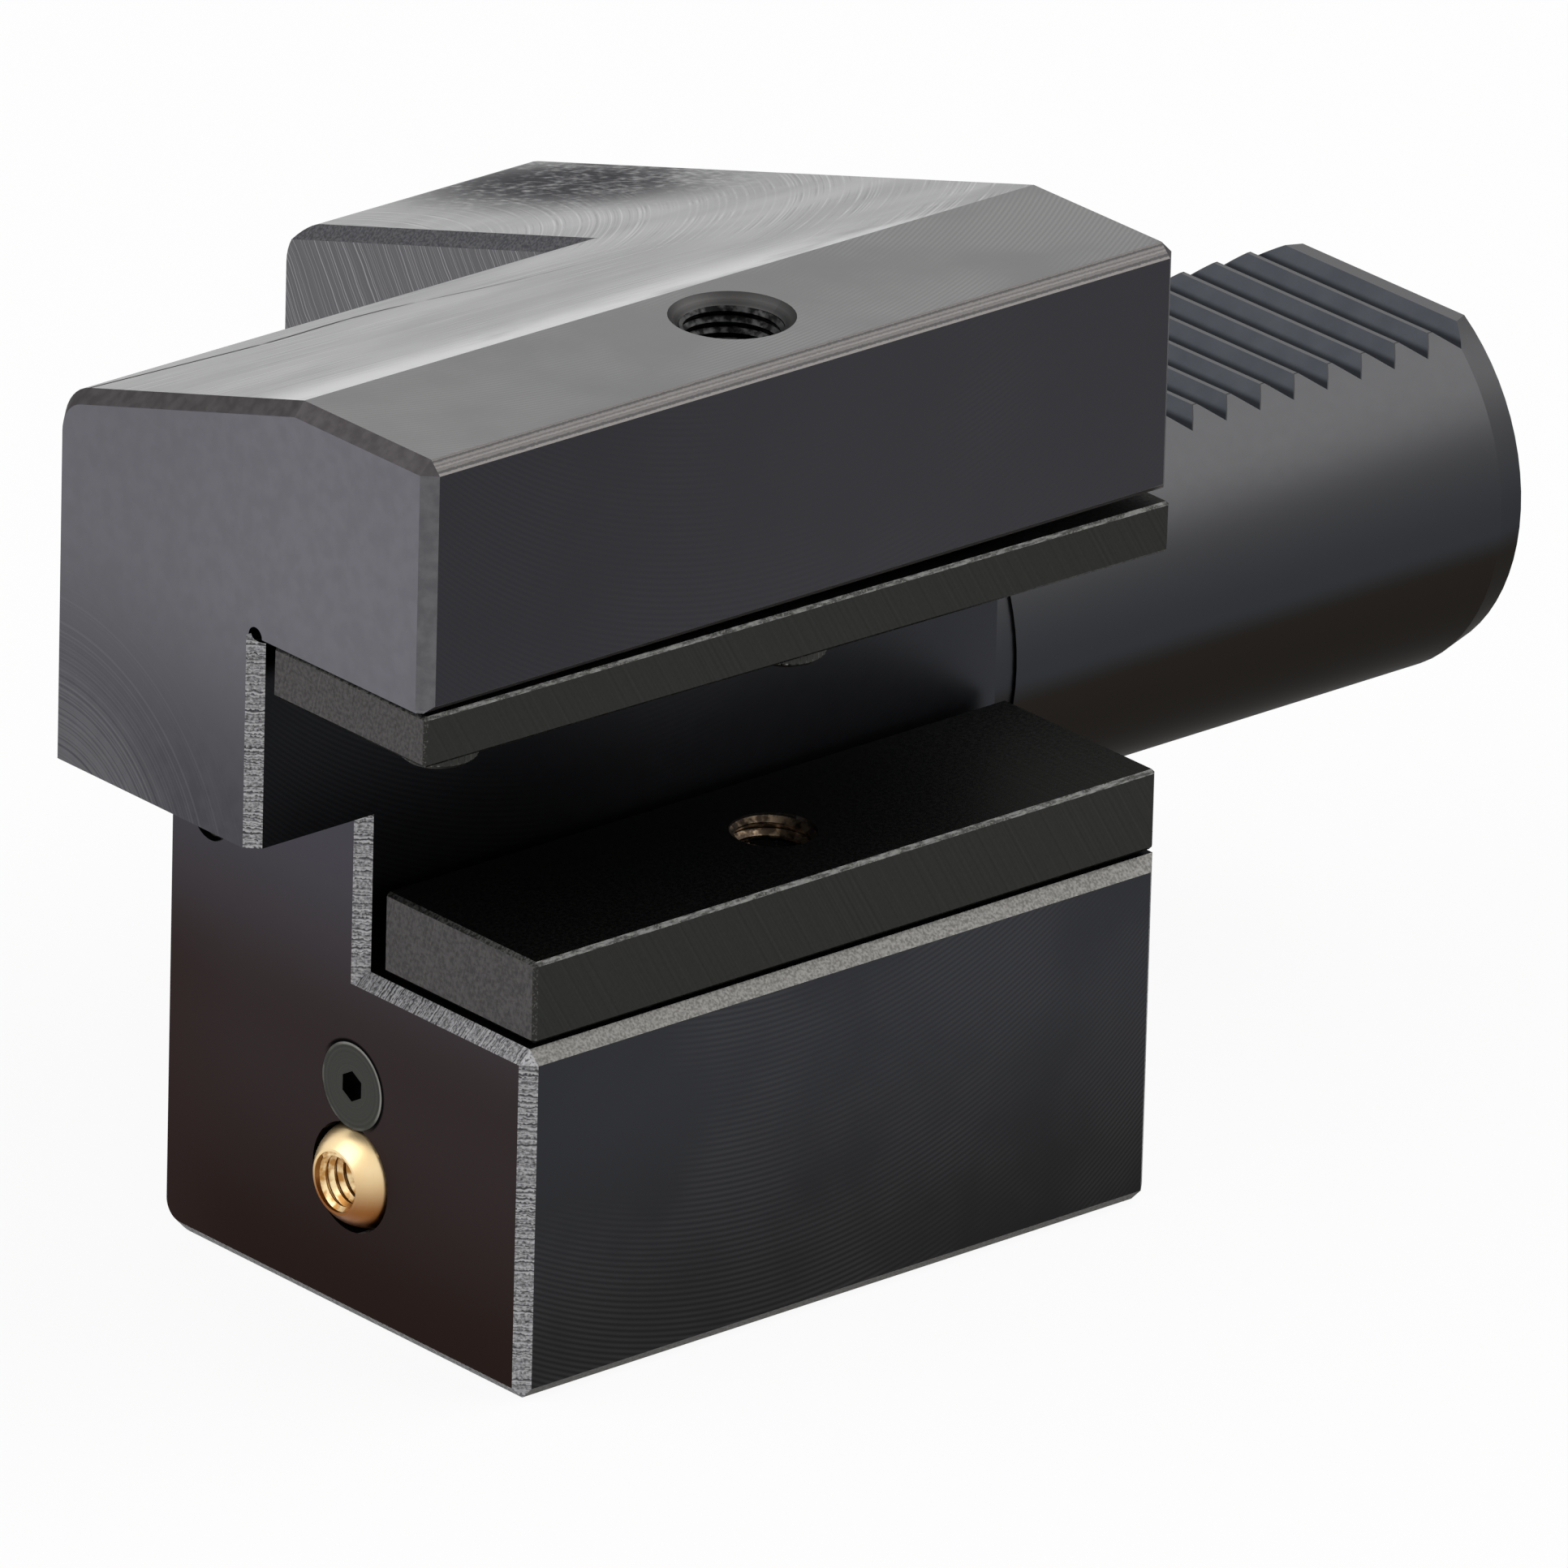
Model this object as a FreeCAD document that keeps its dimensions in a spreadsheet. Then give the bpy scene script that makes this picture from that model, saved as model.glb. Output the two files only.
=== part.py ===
import FreeCAD, Part
import math
import os
import Sketcher

# Axial holder for square-shank turning tools, with a round serrated shank for a lathe turret.
# The shank axis is the X axis and the flange face lies in the plane X = 0, so the origin is the
# point where the shank meets the flange. The shank runs towards +X and the tool jaws towards -X.
# +Z is up and the tool slot is open towards -Y.

# Every driving size: its name, its value in millimetres (or a plain count) and its meaning.
SIZES = (
    ("shank_radius", 20.0, "radius of the round shank"),
    ("shank_length", 63.0, "flange face to shank end"),
    ("shank_lead_length", 3.1, "length of the lead-in chamfer at the shank end"),
    ("shank_lead_depth", 0.8, "radial depth of the lead-in chamfer"),
    ("root_groove_width", 2.5, "undercut where the shank meets the flange"),
    ("root_groove_depth", 0.3, "radial depth of the undercut"),
    ("rack_start", 21.7, "first tooth crest, two pitches before the 29.7 reference crest"),
    ("rack_height", 15.85, "height of the tooth crests over the shank axis"),
    ("tooth_pitch", 4.0, "spacing of the clamping teeth"),
    ("tooth_depth", 1.55, "crest to root"),
    ("tooth_root", 2.25, "middle of a crest to the root behind it"),
    ("tooth_land", 0.45, "flat left on each crest"),
    ("front_reach", 42.5, "shank axis to the slotted front face"),
    ("rear_reach", 45.0, "shank axis to the rear face of the flange"),
    ("top_height", 48.0, "shank axis to the top face"),
    ("base_drop", 42.5, "shank axis to the base"),
    ("jaw_length", 85.0, "flange face to the end of the upper jaw"),
    ("block_length", 72.5, "flange face to the end of the lower block"),
    ("flange_thickness", 27.5, "thickness of the wide flange"),
    ("jaw_rear", 7.5, "shank axis to the rear face of the upper jaw"),
    ("block_rear", 6.75, "shank axis to the rear face of the lower block"),
    ("hook_height", 5.0, "shank axis to the underside of the overhanging jaw end"),
    ("ridge_inset", 18.0, "front face to the ridge where the top starts to fall"),
    ("rear_fall", 19.5, "how far the top has fallen at the rear of the flange"),
    ("slot_depth", 22.5, "front face to the back wall of the tool slot"),
    ("seat_height", 25.0, "shank axis to the ceiling of the tool slot, the tool height"),
    ("floor_drop", 9.75, "shank axis to the floor of the tool slot"),
    ("edge_chamfer", 1.2, "chamfer of the outer edges"),
    ("seat_chamfer", 0.7, "chamfer of the lower front edge of the upper jaw"),
    ("rear_top_radius", 4.5, "rounding where the falling top meets a rear face"),
    ("base_corner_radius", 3.0, "rounding of the rear base edges"),
    ("corner_relief", 0.9, "radius of the relief in the upper inner corner of the slot"),
    ("top_hole_x", 42.0, "flange face to the axis of the tapped hole in the top"),
    ("top_hole_inset", 10.75, "front face to the axis of the tapped hole in the top"),
    ("top_hole_radius", 4.6, "wall of the M10 tapped hole"),
    ("top_hole_sink", 1.0, "countersink of the M10 tapped hole"),
    ("plate_gap_end", 1.3, "block end face to the end of the clamping plate"),
    ("plate_gap_flange", 0.1, "flange face to the other end of the clamping plate"),
    ("plate_inset", 0.8, "front face to the front of the clamping plate"),
    ("plate_width", 20.2, "width of the clamping plate"),
    ("plate_thickness", 7.6, "thickness of the clamping plate"),
    ("plate_lift", 0.45, "how far the clamp screws hold the plate off the floor"),
    ("plate_chamfer", 0.35, "edge chamfer of the clamping plate"),
    ("shim_gap_end", 0.3, "jaw end face to the end of the shim plate"),
    ("shim_gap_flange", 0.1, "flange face to the other end of the shim plate"),
    ("shim_inset", 0.2, "front face to the front of the shim plate"),
    ("shim_width", 20.3, "width of the shim plate"),
    ("shim_thickness", 4.7, "thickness of the shim plate"),
    ("shim_slack", 0.25, "play of the shim plate under the slot ceiling and around its screws"),
    ("shim_sag", 1.0, "how much lower the shim plate hangs at the flange"),
    ("shim_chamfer", 0.3, "edge chamfer of the shim plate"),
    ("shim_screw_end", 5.2, "jaw end face to the outer shim screw"),
    ("shim_screw_spacing", 39.2, "distance between the two shim screws"),
    ("shim_screw_inset", 4.0, "front of the shim plate to its screws"),
    ("shim_head_proud", 1.3, "how far the shim screw heads stand out of the plate"),
    ("clamp_spacing", 46.0, "distance between the two clamp screws"),
    ("clamp_radius", 6.0, "radius of the M12 clamp screws"),
    ("clamp_length", 30.0, "length of the clamp screws"),
    ("clamp_hex", 6.0, "width across flats of the clamp screw sockets"),
    ("thread_play", 0.04, "radial play of the screws in their tapped holes"),
    ("retainer_radius", 3.85, "radius of the M8 screw that carries the clamping plate"),
    ("retainer_grip", 4.3, "how far that screw reaches into the clamping plate"),
    ("retainer_length", 25.0, "length of that screw under its head"),
    ("retainer_head_radius", 6.5, "radius of its head"),
    ("retainer_head_height", 8.0, "height of its head"),
    ("retainer_hex", 6.0, "width across flats of its socket"),
    ("retainer_way", 0.6, "radial room around its shaft in the block"),
    ("spring_seat_depth", 6.0, "slot floor to the shoulder that the return spring bears on"),
    ("spring_pocket_radius", 7.2, "radius of the pocket for the spring and screw head"),
    ("spring_wire", 0.7, "radius of the return spring wire"),
    ("spring_turns", 4, "turns of the return spring"),
    ("spring_room", 0.4, "radial room between the spring coil and its pocket"),
    ("washer_thickness", 1.2, "thickness of the washer under the retaining screw head"),
    ("washer_room", 0.3, "radial room between the washer and the pocket"),
    ("nozzle_inset", 23.3, "front face to the nozzle axis"),
    ("nozzle_height", 13.4, "base to the nozzle axis"),
    ("ball_radius", 5.0, "radius of the coolant nozzle ball"),
    ("ball_sink", 2.3, "block end face to the centre of the ball"),
    ("ball_flat", 4.0, "centre of the ball to its front and rear flats"),
    ("ball_thread_radius", 2.75, "wall of the M6 tapped bore in the ball"),
    ("ball_thread_depth", 6.0, "depth of the M6 tapped bore"),
    ("ball_jet_radius", 1.75, "radius of the jet bore behind the thread"),
    ("ball_play", 0.05, "radial play of the ball in its bore and seat"),
    ("seat_ring_length", 2.6, "length of the seat ring behind the ball"),
    ("seat_ring_bore", 2.5, "radius of the hole through the seat ring"),
    ("seat_ring_start", 3.3, "centre of the ball to the front of the seat ring"),
    ("seal_wire", 0.9, "half the thickness of the rubber seal rings"),
    ("duct_radius", 3.0, "radius of the main coolant duct"),
    ("inlet_recess_radius", 6.2, "radius of the seal recess in the flange face"),
    ("inlet_recess_depth", 1.8, "depth of the seal recess in the flange face"),
    ("keeper_rise", 8.6, "nozzle axis to the axis of its retaining screw"),
    ("keeper_head_radius", 4.0, "radius of the countersunk M4 head"),
    ("keeper_head_depth", 2.3, "depth of the countersunk head"),
    ("keeper_radius", 2.0, "radius of its M4 thread"),
    ("keeper_length", 12.0, "overall length of the retaining screw"),
    ("keeper_hex", 2.5, "width across flats of its socket"),
    ("small_screw_radius", 2.0, "radius of the M4 shim screws"),
    ("small_head_radius", 3.5, "radius of their heads"),
    ("small_head_height", 4.0, "height of their heads"),
    ("small_screw_length", 10.0, "length of the shim screws under the head"),
    ("small_hex", 3.0, "width across flats of their sockets"),
    ("plug_radius", 2.5, "radius of the M5 plugs that close the drilled ducts"),
    ("plug_length", 6.0, "length of the plugs"),
    ("plug_sink", 0.4, "how far the plugs sit below the surface"),
    ("plug_hex", 2.5, "width across flats of the plug sockets"),
    ("branch_radius", 2.0, "radius of the drilled branch ducts"),
    ("branch_inset", 12.5, "block end face to the crossing of the branch ducts"),
    ("branch_y", 0.4, "shank axis to the upright branch duct, towards the rear"),
    ("branch_z", 1.4, "shank axis to the upper branch duct, downwards"),
)

SHEET = "sizes"
VALUE = {name: value for name, value, meaning in SIZES}

doc = FreeCAD.newDocument("axial_tool_holder")
sheet = doc.addObject("Spreadsheet::Sheet", SHEET)
for row, (name, value, meaning) in enumerate(SIZES, start=1):
    sheet.set("A%d" % row, meaning)
    sheet.set("B%d" % row, str(value))
    sheet.setAlias("B%d" % row, name)
doc.recompute()


def amount(text):
    """Number of a sum such as 'block_length - plate_gap_end + plate_width/2'."""
    total = 0.0
    sign = 1.0
    for word in text.split():
        if word in ("+", "-"):
            sign = 1.0 if word == "+" else -1.0
            continue
        name, slash, divisor = word.partition("/")
        size = VALUE[name] if name in VALUE else float(name)
        total += sign * size / (float(divisor) if slash else 1.0)
        sign = 1.0
    return total


def formula(text):
    """The same sum as an expression on the sheet."""
    words = []
    for word in text.split():
        name, slash, divisor = word.partition("/")
        if name in VALUE:
            name = "%s.%s" % (SHEET, name)
        words.append(name + slash + divisor)
    return " ".join(words)


def bind(item, prop, text):
    item.setExpression(prop, formula(text))


def new_body(label):
    body = doc.addObject("PartDesign::Body", label)
    body.Label = label
    return body


def new_sketch(body, name, role, offset="0"):
    """Sketch on an origin plane of the body, moved along the plane's normal."""
    sketch = body.newObject("Sketcher::SketchObject", name)
    plane = [item for item in body.Origin.OriginFeatures if item.Role == role][0]
    sketch.AttachmentSupport = [(plane, "")]
    sketch.MapMode = "FlatFace"
    bind(sketch, "AttachmentOffset.Base.z", offset)
    return sketch


def pin_point(sketch, index, point, across, up):
    """Ties a point of the sketch to its distances from the sketch origin."""
    number = sketch.addConstraint(Sketcher.Constraint("DistanceX", -1, 1, index, point, amount(across)))
    bind(sketch, "Constraints[%d]" % number, across)
    number = sketch.addConstraint(Sketcher.Constraint("DistanceY", -1, 1, index, point, amount(up)))
    bind(sketch, "Constraints[%d]" % number, up)


def draw_outline(sketch, corners):
    """Closed outline of straight lines through corners given as pairs of sums."""
    points = [FreeCAD.Vector(amount(across), amount(up), 0) for across, up in corners]
    count = len(points)
    first = sketch.GeometryCount
    for index in range(count):
        sketch.addGeometry(Part.LineSegment(points[index], points[(index + 1) % count]))
    for index in range(count):
        following = first + (index + 1) % count
        sketch.addConstraint(Sketcher.Constraint("Coincident", first + index, 2, following, 1))
    for index, (across, up) in enumerate(corners):
        pin_point(sketch, first + index, 1, across, up)


def draw_rectangle(sketch, low_across, high_across, low_up, high_up):
    corners = ((low_across, low_up), (high_across, low_up), (high_across, high_up), (low_across, high_up))
    draw_outline(sketch, corners)


def draw_circle(sketch, across, up, radius):
    centre = FreeCAD.Vector(amount(across), amount(up), 0)
    index = sketch.addGeometry(Part.Circle(centre, FreeCAD.Vector(0, 0, 1), amount(radius)))
    pin_point(sketch, index, 3, across, up)
    number = sketch.addConstraint(Sketcher.Constraint("Radius", index, amount(radius)))
    bind(sketch, "Constraints[%d]" % number, radius)


def draw_hexagon(sketch, across, up, width):
    """Hexagon with two upright flats, by its width across flats."""
    centre = FreeCAD.Vector(amount(across), amount(up), 0)
    corner_reach = amount(width) / math.sqrt(3.0)
    points = []
    for step in range(6):
        turn = math.radians(30 + 60 * step)
        points.append(centre + FreeCAD.Vector(math.cos(turn), math.sin(turn), 0) * corner_reach)
    first = sketch.GeometryCount
    for step in range(6):
        sketch.addGeometry(Part.LineSegment(points[step], points[(step + 1) % 6]))
    for step in range(6):
        following = first + (step + 1) % 6
        sketch.addConstraint(Sketcher.Constraint("Coincident", first + step, 2, following, 1))
    guide = sketch.addGeometry(Part.Circle(centre, FreeCAD.Vector(0, 0, 1), corner_reach), True)
    pin_point(sketch, guide, 3, across, up)
    for step in range(6):
        sketch.addConstraint(Sketcher.Constraint("PointOnObject", first + step, 1, guide))
    for step in range(1, 6):
        sketch.addConstraint(Sketcher.Constraint("Equal", first, first + step))
    sketch.addConstraint(Sketcher.Constraint("Vertical", first + 5))
    number = sketch.addConstraint(Sketcher.Constraint("Radius", guide, corner_reach))
    sketch.setExpression("Constraints[%d]" % number, "(%s) / sqrt(3)" % formula(width))


def pad(body, sketch, length, backwards=False):
    feature = body.newObject("PartDesign::Pad", sketch.Name + "_pad")
    feature.Profile = sketch
    feature.Reversed = backwards
    bind(feature, "Length", length)
    sketch.Visibility = False
    doc.recompute()
    return feature


def pocket(body, sketch, length=None, forwards=False):
    """Cut against the sketch normal, or along it; through everything without a length."""
    before = body.Tip.Shape.Volume
    feature = body.newObject("PartDesign::Pocket", sketch.Name + "_cut")
    feature.Profile = sketch
    feature.Reversed = forwards
    if length is None:
        feature.Type = "ThroughAll"
    else:
        bind(feature, "Length", length)
    sketch.Visibility = False
    doc.recompute()
    if feature.Shape.Volume >= before:
        raise RuntimeError("%s cuts nothing" % feature.Name)
    return feature


def revolve(body, sketch):
    """Full turn about the X axis, added to the body."""
    feature = body.newObject("PartDesign::Revolution", sketch.Name + "_turn")
    feature.Profile = sketch
    line = [item for item in body.Origin.OriginFeatures if item.Role == "X_Axis"][0]
    feature.ReferenceAxis = (line, [""])
    feature.Angle = 360.0
    sketch.Visibility = False
    doc.recompute()
    return feature


def edges_where(feature, test):
    names = []
    for index, edge in enumerate(feature.Shape.Edges, start=1):
        if test(edge):
            names.append("Edge%d" % index)
    return names


def between(point, low, high):
    slack = 1e-4
    inside = [low[axis] - slack <= point[axis] <= high[axis] + slack for axis in range(3)]
    return all(inside)


def edge_in_box(low, high):
    """Test for edges whose two ends lie in a box given by its low and high corners."""
    def test(edge):
        if len(edge.Vertexes) < 2:
            return False
        return all(between(vertex.Point, low, high) for vertex in edge.Vertexes)
    return test


def dress(body, kind, name, names, size):
    """Chamfer or fillet of chosen edges on the body's last feature."""
    base = body.Tip
    feature = body.newObject("PartDesign::" + kind, name)
    feature.Base = (base, names)
    bind(feature, "Size" if kind == "Chamfer" else "Radius", size)
    doc.recompute()
    return feature


def place(item, across="0", along="0", up="0"):
    """Moves a finished piece to its seat, by sums of the sheet's sizes."""
    bind(item, "Placement.Base.x", across)
    bind(item, "Placement.Base.y", along)
    bind(item, "Placement.Base.z", up)


SLOT_WALL = "- front_reach + slot_depth"


def cut_falling_top(body, name):
    """Removes what lies over the plane that falls from the ridge to the rear of the flange."""
    sketch = new_sketch(body, name, "YZ_Plane")
    corners = (
        ("- front_reach + ridge_inset", "top_height"),
        ("rear_reach", "top_height - rear_fall"),
        ("rear_reach", "top_height"),
    )
    draw_outline(sketch, corners)
    return pocket(body, sketch)


def build_blocks(body):
    """Flange, lower block and upper jaw with the falling rear top and the tool slot."""
    sketch = new_sketch(body, "flange_outline", "YZ_Plane")
    draw_rectangle(sketch, "- front_reach", "rear_reach", "- base_drop", "top_height")
    pad(body, sketch, "flange_thickness", backwards=True)
    flange = cut_falling_top(body, "flange_top")

    def on_back_top(edge):
        ends = [vertex.Point for vertex in edge.Vertexes]
        at_back = all(abs(end.x + amount("flange_thickness")) < 1e-4 for end in ends)
        falling = abs(ends[0].y - ends[-1].y) > 1 and abs(ends[0].z - ends[-1].z) > 1
        return at_back and falling

    dress(body, "Chamfer", "flange_back_chamfer", edges_where(flange, on_back_top), "edge_chamfer")

    sketch = new_sketch(body, "block_outline", "YZ_Plane")
    draw_rectangle(sketch, "- front_reach", "block_rear", "- base_drop", "top_height")
    pad(body, sketch, "block_length", backwards=True)

    sketch = new_sketch(body, "jaw_outline", "YZ_Plane")
    draw_rectangle(sketch, "- front_reach", "jaw_rear", "hook_height", "top_height")
    pad(body, sketch, "jaw_length", backwards=True)

    cut_falling_top(body, "jaw_top")

    sketch = new_sketch(body, "tool_slot", "YZ_Plane")
    draw_rectangle(sketch, "- front_reach", SLOT_WALL, "- floor_drop", "seat_height")
    pocket(body, sketch)


def round_rear_edges(body):
    far = amount("jaw_length")
    rear_faces = (amount("jaw_rear"), amount("rear_reach"))

    def on_rear_top(edge):
        ends = [vertex.Point for vertex in edge.Vertexes]
        along_shank = abs(ends[0].y - ends[-1].y) < 1e-6 and abs(ends[0].z - ends[-1].z) < 1e-6
        high = ends[0].z > amount("seat_height")
        return along_shank and high and min(abs(ends[0].y - rear) for rear in rear_faces) < 1e-6

    dress(body, "Fillet", "rear_top_rounding", edges_where(body.Tip, on_rear_top), "rear_top_radius")
    base = -amount("base_drop")
    low = (-far, amount("block_rear"), base)
    high = (0, amount("rear_reach"), base)

    def on_rear_base(edge):
        ends = [vertex.Point for vertex in edge.Vertexes]
        return edge_in_box(low, high)(edge) and abs(ends[0].y - ends[-1].y) < 1e-6

    dress(body, "Fillet", "rear_base_rounding", edges_where(body.Tip, on_rear_base), "base_corner_radius")


def chamfer_outer_edges(body):
    """Chamfers of the end faces, the flange outline and the long front edges."""
    front = -amount("front_reach")
    wall = amount(SLOT_WALL)
    top = amount("top_height")
    base = -amount("base_drop")
    floor = -amount("floor_drop")
    seat = amount("seat_height")
    hook = amount("hook_height")
    jaw_end = -amount("jaw_length")
    block_end = -amount("block_length")

    def flat_at(edge, axis, value):
        return all(abs(vertex.Point[axis] - value) < 1e-4 for vertex in edge.Vertexes)

    def on_outline(edge):
        if len(edge.Vertexes) < 2:
            return False
        if flat_at(edge, 0, jaw_end):
            return not flat_at(edge, 2, seat) and not flat_at(edge, 2, hook)
        if flat_at(edge, 0, block_end):
            return not flat_at(edge, 2, hook)
        if flat_at(edge, 0, 0.0):
            inner = flat_at(edge, 1, wall) or flat_at(edge, 2, seat) or flat_at(edge, 2, floor)
            return not inner
        long_front = flat_at(edge, 1, front)
        return long_front and (flat_at(edge, 2, top) or flat_at(edge, 2, floor) or flat_at(edge, 2, base))

    dress(body, "Chamfer", "outer_chamfer", edges_where(body.Tip, on_outline), "edge_chamfer")

    def on_seat_front(edge):
        long_enough = edge.Length > amount("block_length")
        return long_enough and flat_at(edge, 1, front) and flat_at(edge, 2, seat)

    dress(body, "Chamfer", "seat_front_chamfer", edges_where(body.Tip, on_seat_front), "seat_chamfer")

    sketch = new_sketch(body, "corner_relief", "YZ_Plane")
    draw_circle(sketch, SLOT_WALL, "seat_height", "corner_relief")
    pocket(body, sketch)


def build_shank(body):
    """Round shank, with its root undercut and its lead-in, and the rack of clamping teeth."""
    sketch = new_sketch(body, "shank_profile", "XZ_Plane")
    corners = (
        ("- duct_radius", "0"),
        ("shank_length", "0"),
        ("shank_length", "shank_radius - shank_lead_depth"),
        ("shank_length - shank_lead_length", "shank_radius"),
        ("root_groove_width", "shank_radius"),
        ("root_groove_width", "shank_radius - root_groove_depth"),
        ("- duct_radius", "shank_radius - root_groove_depth"),
    )
    draw_outline(sketch, corners)
    revolve(body, sketch)

    sketch = new_sketch(body, "rack_flat", "XZ_Plane")
    draw_rectangle(sketch, "rack_start", "shank_length", "rack_height", "shank_radius")
    flat = pocket(body, sketch)
    flat.Midplane = True
    doc.recompute()

    sketch = new_sketch(body, "tooth_gap", "XZ_Plane")
    corners = (
        ("rack_start + tooth_land/2", "rack_height"),
        ("rack_start + tooth_root", "rack_height - tooth_depth"),
        ("rack_start + tooth_pitch - tooth_land/2", "rack_height"),
    )
    draw_outline(sketch, corners)
    gap = pocket(body, sketch)
    gap.Midplane = True
    doc.recompute()
    count = int((amount("shank_length") - amount("rack_start")) / amount("tooth_pitch"))
    rack = body.newObject("PartDesign::LinearPattern", "rack")
    rack.Originals = [gap]
    line = [item for item in body.Origin.OriginFeatures if item.Role == "X_Axis"][0]
    rack.Direction = (line, [""])
    rack.Occurrences = count
    rack.Length = amount("tooth_pitch") * (count - 1)
    rack.setExpression("Length", "%s.tooth_pitch * %d" % (SHEET, count - 1))
    body.Tip = rack
    doc.recompute()


def drill(body, name, role, offset, across, up, radius, depth, forwards=False):
    sketch = new_sketch(body, name, role, offset)
    draw_circle(sketch, across, up, radius)
    return pocket(body, sketch, depth, forwards)


CLAMP_MIDDLE = "- block_length/2 + plate_gap_end/2 - plate_gap_flange/2"
CLAMP_LINE = "- front_reach + plate_inset + plate_width/2"
CLAMP_SPOTS = (("clamp_screw_outer", CLAMP_MIDDLE + " - clamp_spacing/2"),
               ("clamp_screw_inner", CLAMP_MIDDLE + " + clamp_spacing/2"))
SHIM_SPOTS = (("shim_screw_outer", "- jaw_length + shim_screw_end", "0"),
              ("shim_screw_inner", "- jaw_length + shim_screw_end + shim_screw_spacing", "shim_sag/2"))
SHIM_SCREW_LINE = "- front_reach + shim_inset + shim_screw_inset"
RETAINER_POINT = "- floor_drop + plate_lift + retainer_grip"
UNDER_HEAD = RETAINER_POINT + " - retainer_length"
WIRE_SIDES = 6
BALL_MIDDLE = "- block_length + ball_sink"
NOZZLE_LINE = "- front_reach + nozzle_inset"
NOZZLE_LEVEL = "- base_drop + nozzle_height"
KEEPER_HEIGHT = NOZZLE_LEVEL + " + keeper_rise"
BRANCH_LINE = "- block_length + branch_inset"


def drill_body(body):
    """All holes of the holder body."""
    top_sink = drill(body, "top_hole", "XY_Plane", "top_height", "- top_hole_x", "- front_reach + top_hole_inset",
                     "top_hole_radius", "top_height - seat_height")

    def on_top_mouth(edge):
        mouth = edge.Curve.TypeId == "Part::GeomCircle" and len(edge.Vertexes) == 1
        return mouth and abs(edge.Vertexes[0].Point.z - amount("top_height")) < 1e-4

    dress(body, "Chamfer", "top_hole_countersink", edges_where(top_sink, on_top_mouth), "top_hole_sink")
    for label, spot in CLAMP_SPOTS:
        drill(body, label + "_hole", "XY_Plane", "- floor_drop", spot, CLAMP_LINE,
              "clamp_radius + thread_play", "base_drop")
    drill(body, "retainer_hole", "XY_Plane", "- floor_drop", CLAMP_MIDDLE, CLAMP_LINE,
          "retainer_radius + retainer_way", "base_drop")
    drill(body, "spring_pocket", "XY_Plane", "- floor_drop - spring_seat_depth", CLAMP_MIDDLE, CLAMP_LINE,
          "spring_pocket_radius", "base_drop")
    for label, spot, sag in SHIM_SPOTS:
        drill(body, label + "_hole", "XY_Plane", "seat_height", spot, SHIM_SCREW_LINE,
              "small_screw_radius + thread_play", "small_screw_length", forwards=True)

    nozzle = (NOZZLE_LINE, NOZZLE_LEVEL)
    drill(body, "nozzle_bore", "YZ_Plane", "- block_length", *nozzle, "ball_radius + ball_play",
          "ball_sink + seat_ring_start + seat_ring_length + seal_wire + seal_wire", forwards=True)
    drill(body, "main_duct", "YZ_Plane", "0", *nozzle, "duct_radius", "block_length - ball_sink")
    drill(body, "inlet_recess", "YZ_Plane", "0", *nozzle, "inlet_recess_radius", "inlet_recess_depth")
    drill(body, "keeper_hole", "YZ_Plane", "- block_length", NOZZLE_LINE, KEEPER_HEIGHT,
          "keeper_radius + thread_play", "keeper_length + plug_sink", forwards=True)

    plug_depth = "plug_length + plug_sink"
    plug_hole = "plug_radius + thread_play"
    drill(body, "end_plug_hole", "YZ_Plane", "- block_length", "branch_y", "- branch_z",
          plug_hole, plug_depth, forwards=True)
    drill(body, "upper_branch", "YZ_Plane", "- block_length", "branch_y", "- branch_z",
          "branch_radius", "branch_inset", forwards=True)
    drill(body, "base_plug_hole", "XY_Plane", "- base_drop", BRANCH_LINE, "branch_y",
          plug_hole, plug_depth, forwards=True)
    drill(body, "upright_branch", "XY_Plane", "- base_drop", BRANCH_LINE, "branch_y",
          "branch_radius", "base_drop - branch_z", forwards=True)
    drill(body, "rear_plug_hole", "XZ_Plane", "- block_rear", BRANCH_LINE, NOZZLE_LEVEL,
          plug_hole, plug_depth, forwards=True)
    drill(body, "cross_branch", "XZ_Plane", "- block_rear", BRANCH_LINE, NOZZLE_LEVEL,
          "branch_radius", "block_rear + front_reach - nozzle_inset", forwards=True)


def sink_keeper_seat(body):
    """Cone in the end face for the head of the nozzle's retaining screw."""
    sketch = new_sketch(body, "keeper_seat", "XZ_Plane", "front_reach - nozzle_inset")
    corners = (
        ("- block_length", KEEPER_HEIGHT),
        ("- block_length", KEEPER_HEIGHT + " + keeper_head_radius + thread_play"),
        ("- block_length + plug_sink/2", KEEPER_HEIGHT + " + keeper_head_radius + thread_play"),
        ("- block_length + keeper_head_depth", KEEPER_HEIGHT + " + keeper_radius + thread_play"),
        ("- block_length + keeper_head_depth", KEEPER_HEIGHT),
    )
    draw_outline(sketch, corners)
    groove = body.newObject("PartDesign::Groove", "keeper_seat_turn")
    groove.Profile = sketch
    groove.ReferenceAxis = (sketch, ["Edge5"])
    groove.Angle = 360.0
    sketch.Visibility = False
    doc.recompute()


def build_holder_body():
    body = new_body("holder_body")
    build_blocks(body)
    round_rear_edges(body)
    chamfer_outer_edges(body)
    build_shank(body)
    drill_body(body)
    sink_keeper_seat(body)
    return body


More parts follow.
